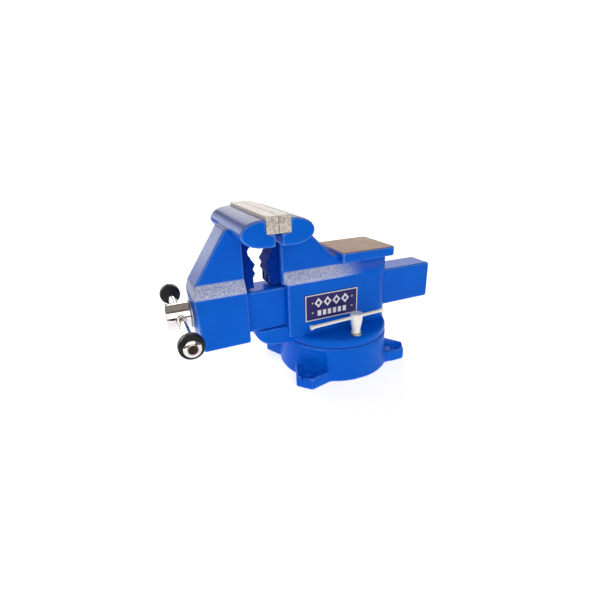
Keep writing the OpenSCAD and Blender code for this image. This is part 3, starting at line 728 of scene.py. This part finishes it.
class ViseLookSettings(PropertyGroup):
    """Colours of the finishes."""

    enamel: colour_setting("Enamel", "Main colour of the enamel", (0.0, 0.14, 0.72))
    enamel_deep: colour_setting("Deep enamel", "Colour where the enamel is thick", (0.0, 0.1, 0.6))
    # Painted edge highlight, given as thin enamel on edges
    thin_enamel_highlight: colour_setting("Thin enamel", "Colour on edges", (0.2, 0.45, 1.0))
    # Painted glint of the rough cast slopes: its low and high tones
    glint_low: colour_setting("Rough cast, low", "Low tone of the shoulders", (0.34, 0.46, 0.88))
    glint_high: colour_setting("Rough cast, high", "High tone of the shoulders", (1.0, 1.0, 1.0))
    iron_brown: colour_setting("Iron, brown", "Brown tone of the bare anvil", (0.24, 0.115, 0.05))
    iron_grey: colour_setting("Iron, grey", "Grey tone of the bare anvil", (0.3, 0.18, 0.105))
    pipe_low: colour_setting("Pipe jaw, low", "Low tone of the pipe jaws", (0.0, 0.015, 0.2))
    pipe_high: colour_setting("Pipe jaw, high", "High tone of the pipe jaws", (0.0, 0.045, 0.36))
    pipe_rubbed: colour_setting("Pipe jaw, rubbed", "Crests of the teeth", (0.04, 0.1, 0.42))
    insert: colour_setting("Insert", "Main colour of the jaw inserts", (0.74, 0.69, 0.64))
    insert_shade: colour_setting("Insert, shaded", "Low tone of the jaw inserts", (0.66, 0.62, 0.55))
    insert_mottle: colour_setting("Insert, mottled", "Spots on the inserts' ends", (0.33, 0.3, 0.26))
    steel: colour_setting("Steel", "Screws, washers and studs", (0.62, 0.62, 0.63))
    steel_shade: colour_setting("Steel, shaded", "Low tone of the steel", (0.4, 0.4, 0.41))
    screw: colour_setting("Thread", "Turned steel of the thread", (0.5, 0.5, 0.5))
    screw_shade: colour_setting("Thread, shaded", "Low tone of the thread", (0.3, 0.29, 0.28))
    chrome: colour_setting("Chrome", "Plating of the head and the handle", (0.86, 0.85, 0.83))
    chrome_shade: colour_setting("Chrome, shaded", "Low tone of the plating", (0.72, 0.7, 0.67))
    # Dark dull plating in the end caps' dish, partly painted shade of the recess
    tarnish_and_shade: colour_setting("Tarnish", "Dull metal in the dish of the end caps", (0.05, 0.03, 0.028))
    bronze: colour_setting("Bronze", "Spindle nut", (0.62, 0.42, 0.18))
    bronze_shade: colour_setting("Bronze, shaded", "Low tone of the nut", (0.42, 0.26, 0.1))
    rubber: colour_setting("Rubber", "Colour of the rings", (0.006, 0.006, 0.007))
    rubber_dust: colour_setting("Rubber, dusty", "Dust on the rings", (0.035, 0.035, 0.036))
    zinc: colour_setting("Plating", "Main colour of the locks", (0.95, 0.94, 0.90))
    zinc_shade: colour_setting("Plating, shaded", "Low tone of the locks", (0.84, 0.82, 0.77))
    plate: colour_setting("Plate", "Ink of the nameplate", (0.018, 0.014, 0.105))
    relief: colour_setting("Relief", "Raised parts of the nameplate", (0.92, 0.92, 0.94))
    relief_shade: colour_setting("Relief, shaded", "Low tone of the raised parts", (0.74, 0.74, 0.76))
    # Painted reflection of the backdrop on level faces, partly a dusty coat: its colour and its amount
    dust_and_sheen_colour: colour_setting("Film", "Pale film on faces that look up", (0.22, 0.19, 0.23))
    pale_cover: FloatProperty(name="Film amount", description="How much of the film lies on level faces",
                        subtype="FACTOR", default=0.55, min=0.0, max=1.0)
    # Strength of the painted edge highlight, given as thinning enamel
    edge_wear_and_highlight: FloatProperty(name="Edge wear", description="How far the enamel thins on edges",
                             subtype="FACTOR", default=1.5, min=0.0, max=3.0)


class ViseStageSettings(PropertyGroup):
    """Floor, light and camera."""

    floor: colour_setting("Floor", "Colour of the floor", (0.92, 0.92, 0.92))
    glow: light_setting("Glow", "Light that the floor gives off, as a light table does", 0.6, 2.0)
    ambient: light_setting("Ambient", "Strength of the even light", 0.16, 5.0)
    key: light_setting("Key", "Brightness of the overhead softbox", 0.12, 20.0)
    back: light_setting("Back", "Brightness of the rear softboxes", 2.6, 20.0)
    front: light_setting("Front", "Brightness of the front softbox", 1.75, 20.0)
    focal: FloatProperty(name="Focal length", description="Lens for a 36 mm sensor, in millimetres",
                         default=23.146, min=10.0, max=200.0)


# ---------------------------------------------------------------- pieces

class ViseBase(Operator):
    """Base casting: a drum with four lugs, its edges eased"""

    bl_idname = "vise.base"
    bl_label = "Base"

    def execute(self, context):
        sizes = context.scene.vise_castings
        obj, points, _ = cast_piece("base_casting", "swivel_base", sizes.cell, sizes.passes)
        set_value(obj.data, "rough_cast_and_glint", np.zeros(len(points)))
        set_value(obj.data, "bare", np.zeros(len(points)))
        finish_piece(obj, "base", finishes()["blue_enamel"], ["base_casting"])
        return {"FINISHED"}


def rough_shoulder(y, z):
    """Mask of the rough cast slopes beside the body and the block, with y and z in millimetres.

    It is 1 where z is between 152.5 and 168 and y is over 27.5 to either side, with soft limits.
    """
    return slope_heights(z) * step_up(np.abs(y), 25.5, 27.5)


def slope_heights(z):
    """Mask of the heights at which the rough cast slopes lie, with z in millimetres."""
    return step_up(z, 150.5, 152.5) * (1 - step_up(z, 168, 170.5))


class ViseFixedJaw(Operator):
    """Fixed jaw casting with its rough shoulders and the machined anvil"""

    bl_idname = "vise.fixed_jaw"
    bl_label = "Fixed jaw"

    def execute(self, context):
        sizes = context.scene.vise_castings
        mounts = {mount["name"]: mount for mount in frame["record"]["mounts"]}
        anvil_top = mounts["anvil_face"]["pos_m"][2]

        def keep_anvil(points):
            """The anvil's working face keeps a crisp edge."""
            near = (points[:, 0] > -12 * MM) & (points[:, 2] > anvil_top - 4 * MM)
            return 0.55 * near * (points[:, 2] < anvil_top + 1 * MM)

        obj, points, normals = cast_piece(
            "static_jaw_casting", "fixed_jaw", sizes.cell, sizes.passes, keep_anvil)
        x, y, z = points.T / MM
        level = anvil_top / MM
        bare = step_up(z, level - 0.6, level - 0.1) * (normals[:, 2] > 0.9)
        bare *= (x > -7.5) * (np.abs(y) < 44.6)
        set_value(obj.data, "bare", bare)
        # The rough cast value, and with it the painted glint, fades towards the back of the body, where
        # less light falls
        fade = 1 - step_up(x, -25, 40)
        set_value(obj.data, "rough_cast_and_glint", rough_shoulder(y, z) * fade * (x > -97))
        finish_piece(obj, "turret", finishes()["blue_enamel"], ["static_jaw_casting"])
        return {"FINISHED"}


class ViseMovingJaw(Operator):
    """Moving jaw casting with its slide and its rough shoulders"""

    bl_idname = "vise.moving_jaw"
    bl_label = "Moving jaw"

    def execute(self, context):
        sizes = context.scene.vise_castings
        obj, points, _ = cast_piece("front_jaw_casting", "moving_jaw", sizes.cell, sizes.passes)
        x, y, z = points.T / MM
        front = slope_heights(z) * (1 - step_up(x, -226.5, -224))
        set_value(obj.data, "rough_cast_and_glint", np.maximum(rough_shoulder(y, z) * (x < -154), front))
        set_value(obj.data, "bare", np.zeros(len(points)))
        finish_piece(obj, "moving_jaw", finishes()["blue_enamel"], ["front_jaw_casting"])
        return {"FINISHED"}


class VisePipeJaws(Operator):
    """The two toothed pipe jaws under the main jaws"""

    bl_idname = "vise.pipe_jaws"
    bl_label = "Pipe jaws"

    def execute(self, context):
        sizes = context.scene.vise_castings
        for side, body in (("front", "moving_jaw"), ("rear", "turret")):
            node = side + "_pipe_jaw"
            obj, _, _ = cast_piece(
                node, side + "_toothed_jaw", sizes.tooth_cell, sizes.tooth_passes)
            finish_piece(obj, body, finishes()["pipe_enamel"], [node])
        return {"FINISHED"}


class ViseInserts(Operator):
    """Jaw inserts and all small steel parts: CAD solids with softened edges and worked finishes"""

    bl_idname = "vise.inserts"
    bl_label = "Inserts and small parts"

    def execute(self, context):
        finish = {
            "front_insert": "ground_steel", "rear_insert": "ground_steel",
            "front_insert_screws": "bare_steel", "rear_insert_screws": "bare_steel",
            "front_pipe_jaw_screws": "bare_steel", "rear_pipe_jaw_screws": "bare_steel",
            "spindle_nut": "nut_bronze", "nut_bolt": "bare_steel", "thrust_washer": "bare_steel",
            "spring_washer": "bare_steel", "retaining_pin": "bare_steel",
            "lock_stud_near": "bare_steel", "lock_stud_far": "bare_steel",
            "lock_washer_near": "bare_steel", "lock_washer_far": "bare_steel",
        }
        for node, key in finish.items():
            obj = frame["nodes"][node]
            for slot in obj.material_slots:
                slot.material = finishes()[key]
            weld = obj.modifiers.new("Merge", "WELD")
            weld.merge_threshold = 2e-6
            edge = obj.modifiers.new("Eased edges", "BEVEL")
            edge.limit_method = "ANGLE"
            edge.angle_limit = math.radians(50)
            edge.width = context.scene.vise_castings.eased
            edge.segments = 2
            edge.use_clamp_overlap = True
        return {"FINISHED"}


def drilled_head(ends, axis_z, head, hole, sizes):
    """Spindle head along X with a round cross hole along Y, and the plain shank behind it.

    A profile of (radius, station) is turned round the axis: a point at angle t is (station,
    -radius * cos(t), axis height + radius * sin(t)). Two windows, square in station and angle, are
    left open on the near and the far side. In each, rows of points blend from the window's outline to
    a circle round the hole, all on the cylinder, and one wall runs between the two circles.
    """
    hole_x, radius = hole
    wide = sizes.window
    angle = math.asin(wide / head)
    around = np.concatenate([
        np.linspace(-angle, angle, WINDOW, endpoint=False),
        np.linspace(angle, math.pi - angle, BETWEEN, endpoint=False),
        np.linspace(math.pi - angle, math.pi + angle, WINDOW, endpoint=False),
        np.linspace(math.pi + angle, 2 * math.pi - angle, BETWEEN, endpoint=False),
    ])
    start, end = ends
    front = rounded([[0, start], [head, start], [head, hole_x - wide]], sizes.bevel, 5)
    back = rounded(
        [[head, hole_x + wide], [head, end], [sizes.shank, end], [sizes.shank, end + sizes.plain_part]],
        [sizes.bevel, 0.4 * MM], 5,
    )
    level = np.linspace(hole_x - wide, hole_x + wide, WINDOW + 1)[1:-1]
    profile = np.concatenate([front, np.stack([np.full(WINDOW - 1, head), level], -1), back])
    ring = np.stack([np.zeros(len(around)), -np.cos(around), np.sin(around)], -1)
    points = np.array([0, 0, axis_z]) + profile[:, 0][:, None, None] * ring
    points[:, :, 0] = profile[:, 1][:, None]
    faces = grid_faces(len(profile), len(around), False, True)
    rows, cols = faces[:, 0] // len(around), faces[:, 0] % len(around)
    in_rows = (rows >= len(front) - 1) & (rows < len(front) - 1 + WINDOW)
    in_cols = cols % (WINDOW + BETWEEN) < WINDOW
    shell = points.reshape(-1, 3), faces[~(in_rows & in_cols)]

    step = np.linspace(-1, 1, WINDOW + 1)[:-1]
    one = np.ones(WINDOW)
    square = np.concatenate([
        np.stack([step, -one], -1), np.stack([one, step], -1),
        np.stack([-step, one], -1), np.stack([-one, -step], -1),
    ])
    turn = np.arctan2(square[:, 1], square[:, 0])
    rim = radius + sizes.rim
    circle = np.stack([rim * np.cos(turn), np.arcsin(rim * np.sin(turn) / head)], -1)
    share = np.linspace(0, 1, 7)[:, None, None]
    flat = (1 - share) * square * np.array([wide, angle]) + share * circle
    x = hole_x + flat[..., 0]
    y = -head * np.cos(flat[..., 1])
    z = axis_z + head * np.sin(flat[..., 1])
    depth = -head * np.cos(np.arcsin(radius * np.sin(turn) / head))
    chamfer = sizes.rim * 0.9
    wall_y = np.stack([depth + chamfer, depth * 0.5, depth * 0, -depth * 0.5, -depth - chamfer])
    wall_x = np.repeat((hole_x + radius * np.cos(turn))[None], 5, 0)
    wall_z = np.repeat((axis_z + radius * np.sin(turn))[None], 5, 0)
    px = np.concatenate([x, wall_x, x[::-1]])
    py = np.concatenate([y, wall_y, -y[::-1]])
    pz = np.concatenate([z, wall_z, z[::-1]])
    through = np.stack([px, py, pz], -1).reshape(-1, 3)
    return join_surfaces(shell, (through, grid_faces(len(px), 4 * WINDOW, False, True)))


def threaded_shank(start, tip_x, axis_z, sizes):
    """Thread along X with a thinner plain tip.

    At station s and angle t the radius is shank - depth * (1 - wave) * fade. The wave is
    2.2 * |2p - 1| - 0.6, held from 0 to 1, where p is the fraction left of s / lead - t / full turn,
    so the crest goes on by one lead in a turn. The fade is 0 at both ends and 1 between them.
    """
    end = tip_x - 4 * MM
    t = np.linspace(0, 2 * math.pi, THREAD_SIDES, endpoint=False)
    s = np.linspace(start, end, int((end - start) / sizes.lead * 10) + 1)
    phase = (s[:, None] / sizes.lead - t[None] / (2 * math.pi)) % 1.0
    wave = np.clip(2.2 * np.abs(2 * phase - 1) - 0.6, 0, 1)
    fade = np.minimum(step_up(s, start, start + 4 * MM), 1 - step_up(s, end - 2 * MM, end))
    radius = sizes.shank - sizes.thread_depth * (1 - wave) * fade[:, None]
    tip = sizes.shank - 2.5 * MM
    tail = rounded([[sizes.shank, end], [tip, end + 0.5 * MM], [tip, tip_x], [0, tip_x]], 1 * MM, 3)
    station = np.concatenate([[start], s, tail[:, 1]])
    radius = np.concatenate([
        np.zeros((1, THREAD_SIDES)), radius, np.repeat(tail[:, :1], THREAD_SIDES, 1)
    ])
    points = np.stack([
        np.repeat(station[:, None], THREAD_SIDES, 1),
        -radius * np.cos(t),
        axis_z + radius * np.sin(t),
    ], -1)
    return points.reshape(-1, 3), grid_faces(len(points), THREAD_SIDES, False, True)


class ViseSpindle(Operator):
    """Spindle: head with a cross hole, shank and thread"""

    bl_idname = "vise.spindle"
    bl_label = "Spindle"

    def execute(self, context):
        sizes = context.scene.vise_screw
        lo, hi = corners("main_spindle")
        bar_lo, bar_hi = corners("handle_bar")
        axis_z = (lo[2] + hi[2]) / 2
        head = (hi[2] - lo[2]) / 2
        head_end = corners("thrust_washer")[0][0] - sizes.play / 2
        hole = (bar_hi[0] - bar_lo[0]) / 2 + sizes.play
        hole_x = (bar_hi[0] + bar_lo[0]) / 2
        surface = drilled_head((lo[0], head_end), axis_z, head, (hole_x, hole), sizes)
        add_piece("spindle_head", surface, "spindle", finishes()["chrome"],
                  ["main_spindle"], 30)
        surface = threaded_shank(head_end + sizes.plain_part, hi[0], axis_z, sizes)
        add_piece("spindle_thread", surface, "spindle", finishes()["screw_steel"],
                  ["main_spindle"], 50)
        return {"FINISHED"}


class ViseSpring(Operator):
    """Return spring coiled round the spindle"""

    bl_idname = "vise.spring"
    bl_label = "Return spring"

    def execute(self, context):
        wire = context.scene.vise_screw.wire
        lo, hi = corners("return_spring")
        radius = (hi[2] - lo[2]) / 2 - wire
        centre = middle("return_spring")
        turns = 4
        # A helix: the station grows evenly while the angle makes its turns
        t = np.linspace(0, turns, turns * 40 + 1)
        path = np.stack([
            lo[0] + wire + (hi[0] - lo[0] - 2 * wire) * t / turns,
            radius * np.cos(2 * math.pi * t),
            np.full(len(t), centre[2]) + radius * np.sin(2 * math.pi * t),
        ], -1)
        add_piece("coil_spring", tube(path, wire, 12, (1, 0, 0)), "moving_jaw",
                  finishes()["bare_steel"], ["return_spring"])
        return {"FINISHED"}


def ring_profile(neck, ring, thick):
    """Closed outline of a rubber ring: a thick washer whose outer corners are round."""
    loop = [
        [neck, 0.8 * MM], [neck + 1 * MM, 0], [ring - 1 * MM, 0], [ring, 0.3 * thick],
        [ring, 0.7 * thick], [ring - 0.5 * MM, thick], [neck + 1 * MM, thick],
        [neck, thick - 0.8 * MM],
    ]
    return rounded(loop, [0.6 * MM, 4 * MM, 3 * MM, 3 * MM, 4 * MM, 0.6 * MM], 8)


def cap_profile(cap, tall):
    """Outline of an end cap: a skirt, a quarter ellipse up to 52 degrees and a shallow dish.

    Also gives a value for each point that is 1 in the dish, where the plating is dull and painted dark
    for the dish's shade, and 0 outside.
    """
    a = np.linspace(0, math.radians(52), 18)
    dome = np.stack([cap * np.cos(a), 0.42 * tall + 0.58 * tall * np.sin(a)], -1)
    skirt = rounded([[0, 0], [cap, 0], dome[0]], 0.5 * MM, 4)[:-1]
    dish = rounded(
        [dome[-1], [0.52 * cap, 0.99 * tall], [0.42 * cap, 0.84 * tall], [0, 0.78 * tall]],
        [1.2 * MM, 1 * MM], 6,
    )[1:]
    profile = np.concatenate([skirt, dome, dish])
    dull = 1 - step_up(profile[:, 0], 0.46 * cap, 0.68 * cap)
    return profile, dull * (profile[:, 1] > 0.5 * tall)


class ViseHandle(Operator):
    """Handle bar, rubber rings and domed end caps"""

    bl_idname = "vise.handle"
    bl_label = "Handle"

    def execute(self, context):
        lo, hi = corners("handle_bar")
        x, z = (lo[0] + hi[0]) / 2, (lo[2] + hi[2]) / 2
        bar = (hi[0] - lo[0]) / 2
        neck = bar - context.scene.vise_screw.neck_step
        inner = corners("handle_ring_far")[0][1]
        # The bar is a cylinder with a thinner neck at each end, inside its ring and cap
        outline = rounded(
            [[0, -hi[1]], [neck, -hi[1]], [neck, -inner], [bar, -inner],
             [bar, inner], [neck, inner], [neck, hi[1]], [0, hi[1]]],
            [0.4 * MM, 0.1 * MM, 0.5 * MM, 0.5 * MM, 0.1 * MM, 0.4 * MM], 3,
        )
        half = len(outline) // 2
        straight = np.stack([np.full(9, bar), np.linspace(-0.8, 0.8, 9) * inner], -1)
        profile = np.concatenate([outline[:half], straight, outline[half:]])
        add_piece("cross_bar", revolve(profile, (x, 0, z), ACROSS, 48), "handle",
                  finishes()["chrome"], ["handle_bar"], 30)
        for name, side in (("near", -1), ("far", 1)):
            node = "handle_ring_" + name
            lo, hi = corners(node)
            place = (x, lo[1] if side > 0 else hi[1], z)
            loop = ring_profile(neck, (hi[0] - lo[0]) / 2, hi[1] - lo[1])
            add_piece("grip_ring_" + name, revolve(loop, place, ACROSS * side, ROUND, True), "handle",
                      finishes()["black_rubber"], [node], 60)
            node = "handle_cap_" + name
            lo, hi = corners(node)
            place = (x, lo[1] if side > 0 else hi[1], z)
            # Each cap's dish is painted dark: duller plating, and painted shade of the recess
            profile, dull = cap_profile((hi[0] - lo[0]) / 2, hi[1] - lo[1])
            add_piece("dome_cap_" + name, revolve(profile, place, ACROSS * side, ROUND), "handle",
                      finishes()["chrome"], [node], 50,
                      {"tarnish_and_shade": np.repeat(dull, ROUND)})
        return {"FINISHED"}


class ViseLocks(Operator):
    """Swivel locks: tapered nuts and sliding bars with flared ends"""

    bl_idname = "vise.locks"
    bl_label = "Swivel locks"

    def execute(self, context):
        sizes = context.scene.vise_locks
        foot = sizes.foot
        for name in ("near", "far"):
            # The nut widens from its foot to its top, with a low collar under it
            node = "lock_nut_" + name
            lo, hi = corners(node)
            centre = middle(node)
            top = (hi[0] - lo[0]) / 2
            tall = hi[2] - lo[2]
            collar = foot + 0.6 * MM
            profile = rounded(
                [[0, 0], [collar, 0], [collar, 1.6 * MM], [foot, 3 * MM], [foot, 6 * MM],
                 [top, tall - 11 * MM], [top, tall], [0, tall]],
                [0.5 * MM, 0.6 * MM, 0.8 * MM, 2 * MM, 6 * MM, 1.8 * MM], 6,
            )
            surface = revolve(profile, (centre[0], centre[1], lo[2]), UPWARD, 72)
            add_piece("tall_nut_" + name, surface, name + "_lock",
                      finishes()["pale_zinc"], [node], 60)

            # The bar lies level along the line between the middles of its two ends
            node = "lock_bar_" + name
            lo, hi = corners(node)
            points = mesh_points(frame["nodes"][node].data)
            left = points[points[:, 0] < lo[0] + 1 * MM].mean(0)
            right = points[points[:, 0] > hi[0] - 1 * MM].mean(0)
            axis = (right - left) * (1, 1, 0)
            axis /= np.linalg.norm(axis)
            flare = (hi[2] - lo[2]) / 2
            bar = flare - sizes.flare
            half = (hi[0] - lo[0]) / 2 / abs(axis[0]) - flare * abs(axis[1])
            end = np.array([
                [0, half], [flare - 0.4 * MM, half], [flare, half - 0.8 * MM],
                [flare - 0.2 * MM, half - 2 * MM], [bar + 0.1 * MM, half - 6 * MM],
                [bar, half - 12 * MM],
            ])
            profile = rounded(np.concatenate([end, (end * [1, -1])[::-1]])[::-1], 0.7 * MM, 3)
            add_piece("sliding_bar_" + name, revolve(profile, middle(node), axis, 32),
                      name + "_lock_bar", finishes()["pale_zinc"], [node], 60)
        return {"FINISHED"}


def plate_pattern(x, z, edge, border):
    """The raised parts of the nameplate: 1 where a point (x, z) is raised, else 0.

    They are a frame line 1 mm in from the outline, the rings between a lozenge |x| / a + |z| / b = 1
    and one 0.45 as large, round four centres in the upper half, and six bars in the lower half.
    """
    line = (edge > 1 * MM) & (edge < 1 * MM + border)
    pitch = 15.5 * MM
    lozenge = np.abs(x % pitch - pitch / 2) / (7 * MM) + np.abs(z - 7 * MM) / (8 * MM)
    rings = (lozenge < 1.0) & (lozenge > 0.45) & (np.abs(x) < 2 * pitch)
    pitch = 8.8 * MM
    bars = (np.abs(x % pitch - pitch / 2) < 2.9 * MM) & (np.abs(x) < 3 * pitch)
    bars &= np.abs(z + 10 * MM) < 4.4 * MM
    return (line | rings | bars).astype(float)


def plate_surface(lo, hi, sizes):
    """The nameplate between two corners, and a value that is 1 on its raised parts.

    The near face is a grid over x and z. Its depth is the sunk field's, less the relief where the
    pattern is raised, plus a bank 0.4 mm deep over the last 0.8 mm before the outline. A skirt runs
    from the outline to the back, and the back is closed at its middle.
    """
    length, height = hi[0] - lo[0], hi[2] - lo[2]
    back, front = hi[1], lo[1]
    u, v = np.meshgrid(np.linspace(0, 1, 311), np.linspace(0, 1, 149), indexing="ij")
    x, z = (u - 0.5) * length, (v - 0.5) * height
    edge = np.minimum(length / 2 - np.abs(x), height / 2 - np.abs(z))
    raised = plate_pattern(x, z, edge, sizes.border)
    bank = np.clip(edge / (0.8 * MM), 0, 1)
    depth = (front + sizes.relief) + (1 - bank) * 0.4 * MM - raised * sizes.relief
    centre = (lo + hi) / 2
    points = np.stack([centre[0] + x, depth, centre[2] + z], -1).reshape(-1, 3)
    rows, cols = u.shape
    loop = np.concatenate([
        np.arange(cols), np.arange(1, rows) * cols + cols - 1,
        (rows - 1) * cols + np.arange(cols - 2, -1, -1), np.arange(rows - 2, 0, -1) * cols,
    ])
    outline = points[loop].copy()
    outline[:, 1] = back
    hub = np.repeat(np.array([[centre[0], back, centre[2]]]), len(loop), 0)
    skirt = np.concatenate([points[loop], outline, hub])
    surface = join_surfaces(
        (points, grid_faces(rows, cols)), (skirt, grid_faces(3, len(loop), False, True))
    )
    return surface, np.concatenate([raised.ravel(), np.zeros(len(skirt))])


class VisePlate(Operator):
    """Nameplate with a raised border and a plain pattern of lozenges and bars, and its four rivets"""

    bl_idname = "vise.plate"
    bl_label = "Nameplate"

    def execute(self, context):
        sizes = context.scene.vise_plate
        lo, hi = corners("nameplate")
        surface, raised = plate_surface(lo, hi, sizes)
        add_piece("name_plate", surface, "turret", finishes()["plate_ink"],
                  ["nameplate"], 25, {"raised": raised})

        # Each rivet is a pin through the plate under a quarter ellipse turned round its axis
        spots = mesh_points(frame["nodes"]["nameplate_rivets"].data)
        centre = middle("nameplate_rivets")
        thick = hi[1] - lo[1]
        tall = lo[1] - corners("nameplate_rivets")[0][1]
        pin, rivet = sizes.rivet - 0.8 * MM, sizes.rivet
        a = np.linspace(0, math.pi / 2, 9)
        head = np.stack([rivet * np.cos(a), thick + tall * np.sin(a)], -1)[1:]
        profile = np.concatenate([[[0, 0], [pin, 0], [pin, thick], [rivet, thick]], head])
        heads = []
        for side in (-1, 1):
            for level in (-1, 1):
                near = spots[(np.sign(spots[:, 0] - centre[0]) == side)
                             & (np.sign(spots[:, 2] - centre[2]) == level)]
                x, _, z = (near.min(0) + near.max(0)) / 2
                heads.append(revolve(profile, (x, hi[1], z), -ACROSS, 24))
        add_piece("plate_rivets", join_surfaces(*heads), "turret",
                  finishes()["bare_steel"], ["nameplate_rivets"], 50)
        return {"FINISHED"}


# ---------------------------------------------------------------- stage

def softbox(name, place, target, width, height, brightness):
    """A square area light whose surface has the given brightness: power = brightness * pi * area."""
    light = bpy.data.lights.new(name, "AREA")
    light.shape = "RECTANGLE"
    light.size = width
    light.size_y = height
    light.energy = brightness * math.pi * width * height
    obj = bpy.data.objects.new(name, light)
    bpy.context.scene.collection.objects.link(obj)
    obj.location = place
    obj.rotation_euler = (Vector(target) - Vector(place)).to_track_quat("-Z", "Y").to_euler()
    return obj


class ViseStage(Operator):
    """Pale floor, soft studio light and the camera"""

    bl_idname = "vise.stage"
    bl_label = "Stage"

    def execute(self, context):
        stage = context.scene.vise_stage
        scene = context.scene
        scene.view_settings.view_transform = "Standard"
        # The floor is a disc of rings about the origin, closer together near the middle
        rings, sides, reach = 13, 48, 1.3
        radius = np.linspace(0, 1, rings) ** 2 * reach
        turn = np.linspace(0, 2 * math.pi, sides, endpoint=False)
        points = np.stack([radius[:, None] * np.cos(turn), radius[:, None] * np.sin(turn),
                           np.zeros((rings, sides))], -1).reshape(-1, 3)
        mesh = bpy.data.meshes.new("floor")
        mesh.from_pydata(points.tolist(), [], grid_faces(rings, sides, False, True).tolist())
        merge_doubles(mesh, 1e-6)
        floor = bpy.data.objects.new("floor", mesh)
        scene.collection.objects.link(floor)
        material, tree, shader, place = new_material("floor_finish", stage.floor, 0.9)
        shader.inputs["Specular IOR Level"].default_value = 0.1
        shader.inputs["Emission Color"].default_value = (1.0, 1.0, 1.0, 1.0)
        shader.inputs["Emission Strength"].default_value = stage.glow
        mesh.materials.append(material)

        world = bpy.data.worlds.new("studio")
        scene.world = world
        world.use_nodes = True
        tree = world.node_tree
        light = tree.nodes["Background"]
        seen = tree.nodes.new("ShaderNodeLightPath").outputs["Is Camera Ray"]
        warm, white = (1.0, 0.8, 0.66), (1.0, 1.0, 1.0)
        tree.links.new(blend_colours(tree, seen, warm, white), light.inputs["Color"])
        tree.links.new(blend_values(tree, seen, stage.ambient, 1.05), light.inputs["Strength"])

        softbox("overhead", (-0.1, 0.3, 1.5), (0, 0, 0.1), 2.2, 1.8, stage.key)
        softbox("rear_right", (0.75, 1.65, 0.95), (0, 0, 0.2), 2.0, 1.0, stage.back)
        softbox("rear_left", (-1.1, 1.6, 0.6), (-0.2, 0, 0.2), 1.3, 0.8, stage.back * 1.5)
        softbox("front", (-0.45, -1.7, 1.15), (0, 0, 0.15), 2.6, 1.6, stage.front)

        camera = bpy.data.objects.new("camera", bpy.data.cameras.new("camera"))
        scene.collection.objects.link(camera)
        camera.data.sensor_width = 36.0
        camera.data.lens = stage.focal
        camera.data.clip_start = 0.01
        view_angles = (-23.86, 21.31, -1.63)
        view_place = Vector((-0.29232, -0.52440, 0.33479))
        azimuth, rise, roll = (math.radians(v) for v in view_angles)
        back = Vector((math.sin(azimuth) * math.cos(rise), -math.cos(azimuth) * math.cos(rise),
                       math.sin(rise)))
        right = Vector((math.cos(azimuth), math.sin(azimuth), 0))
        up = back.cross(right)
        turned_right = right * math.cos(roll) + up * math.sin(roll)
        turned_up = up * math.cos(roll) - right * math.sin(roll)
        place = Matrix((turned_right, turned_up, back)).transposed().to_4x4()
        place.translation = view_place
        camera.matrix_world = place
        scene.camera = camera
        return {"FINISHED"}


# ---------------------------------------------------------------- add-on

PIECES = (ViseBase, ViseFixedJaw, ViseMovingJaw, VisePipeJaws, ViseInserts, ViseSpindle, ViseSpring,
          ViseHandle, ViseLocks, VisePlate, ViseStage)
SETTINGS = (
    ("vise_castings", ViseCastingSettings),
    ("vise_screw", ViseScrewSettings),
    ("vise_locks", ViseLockSettings),
    ("vise_plate", VisePlateSettings),
    ("vise_looks", ViseLookSettings),
    ("vise_stage", ViseStageSettings),
)


class ViseToolsPanel(Panel):
    """Lists the vise's pieces in the sidebar"""

    bl_idname = "VIEW3D_PT_vise"
    bl_label = "Vise"
    bl_space_type = "VIEW_3D"
    bl_region_type = "UI"
    bl_category = "Vise"

    def draw(self, context):
        for piece in PIECES:
            self.layout.operator(piece.bl_idname)
        for key, group in SETTINGS:
            box = self.layout.box()
            settings = getattr(context.scene, key)
            for name in group.__annotations__:
                box.prop(settings, name)


def register():
    """Registers the settings, the operators and the panel."""
    for key, group in SETTINGS:
        bpy.utils.register_class(group)
        setattr(bpy.types.Scene, key, PointerProperty(type=group))
    for cls in (*PIECES, ViseToolsPanel):
        bpy.utils.register_class(cls)


def unregister():
    """Takes back what register did."""
    for cls in reversed((*PIECES, ViseToolsPanel)):
        bpy.utils.unregister_class(cls)
    for key, group in reversed(SETTINGS):
        delattr(bpy.types.Scene, key)
        bpy.utils.unregister_class(group)


def main():
    register()
    for piece in PIECES:
        area, name = piece.bl_idname.split(".")
        getattr(getattr(bpy.ops, area), name)()


if __name__ == "__main__":
    main()
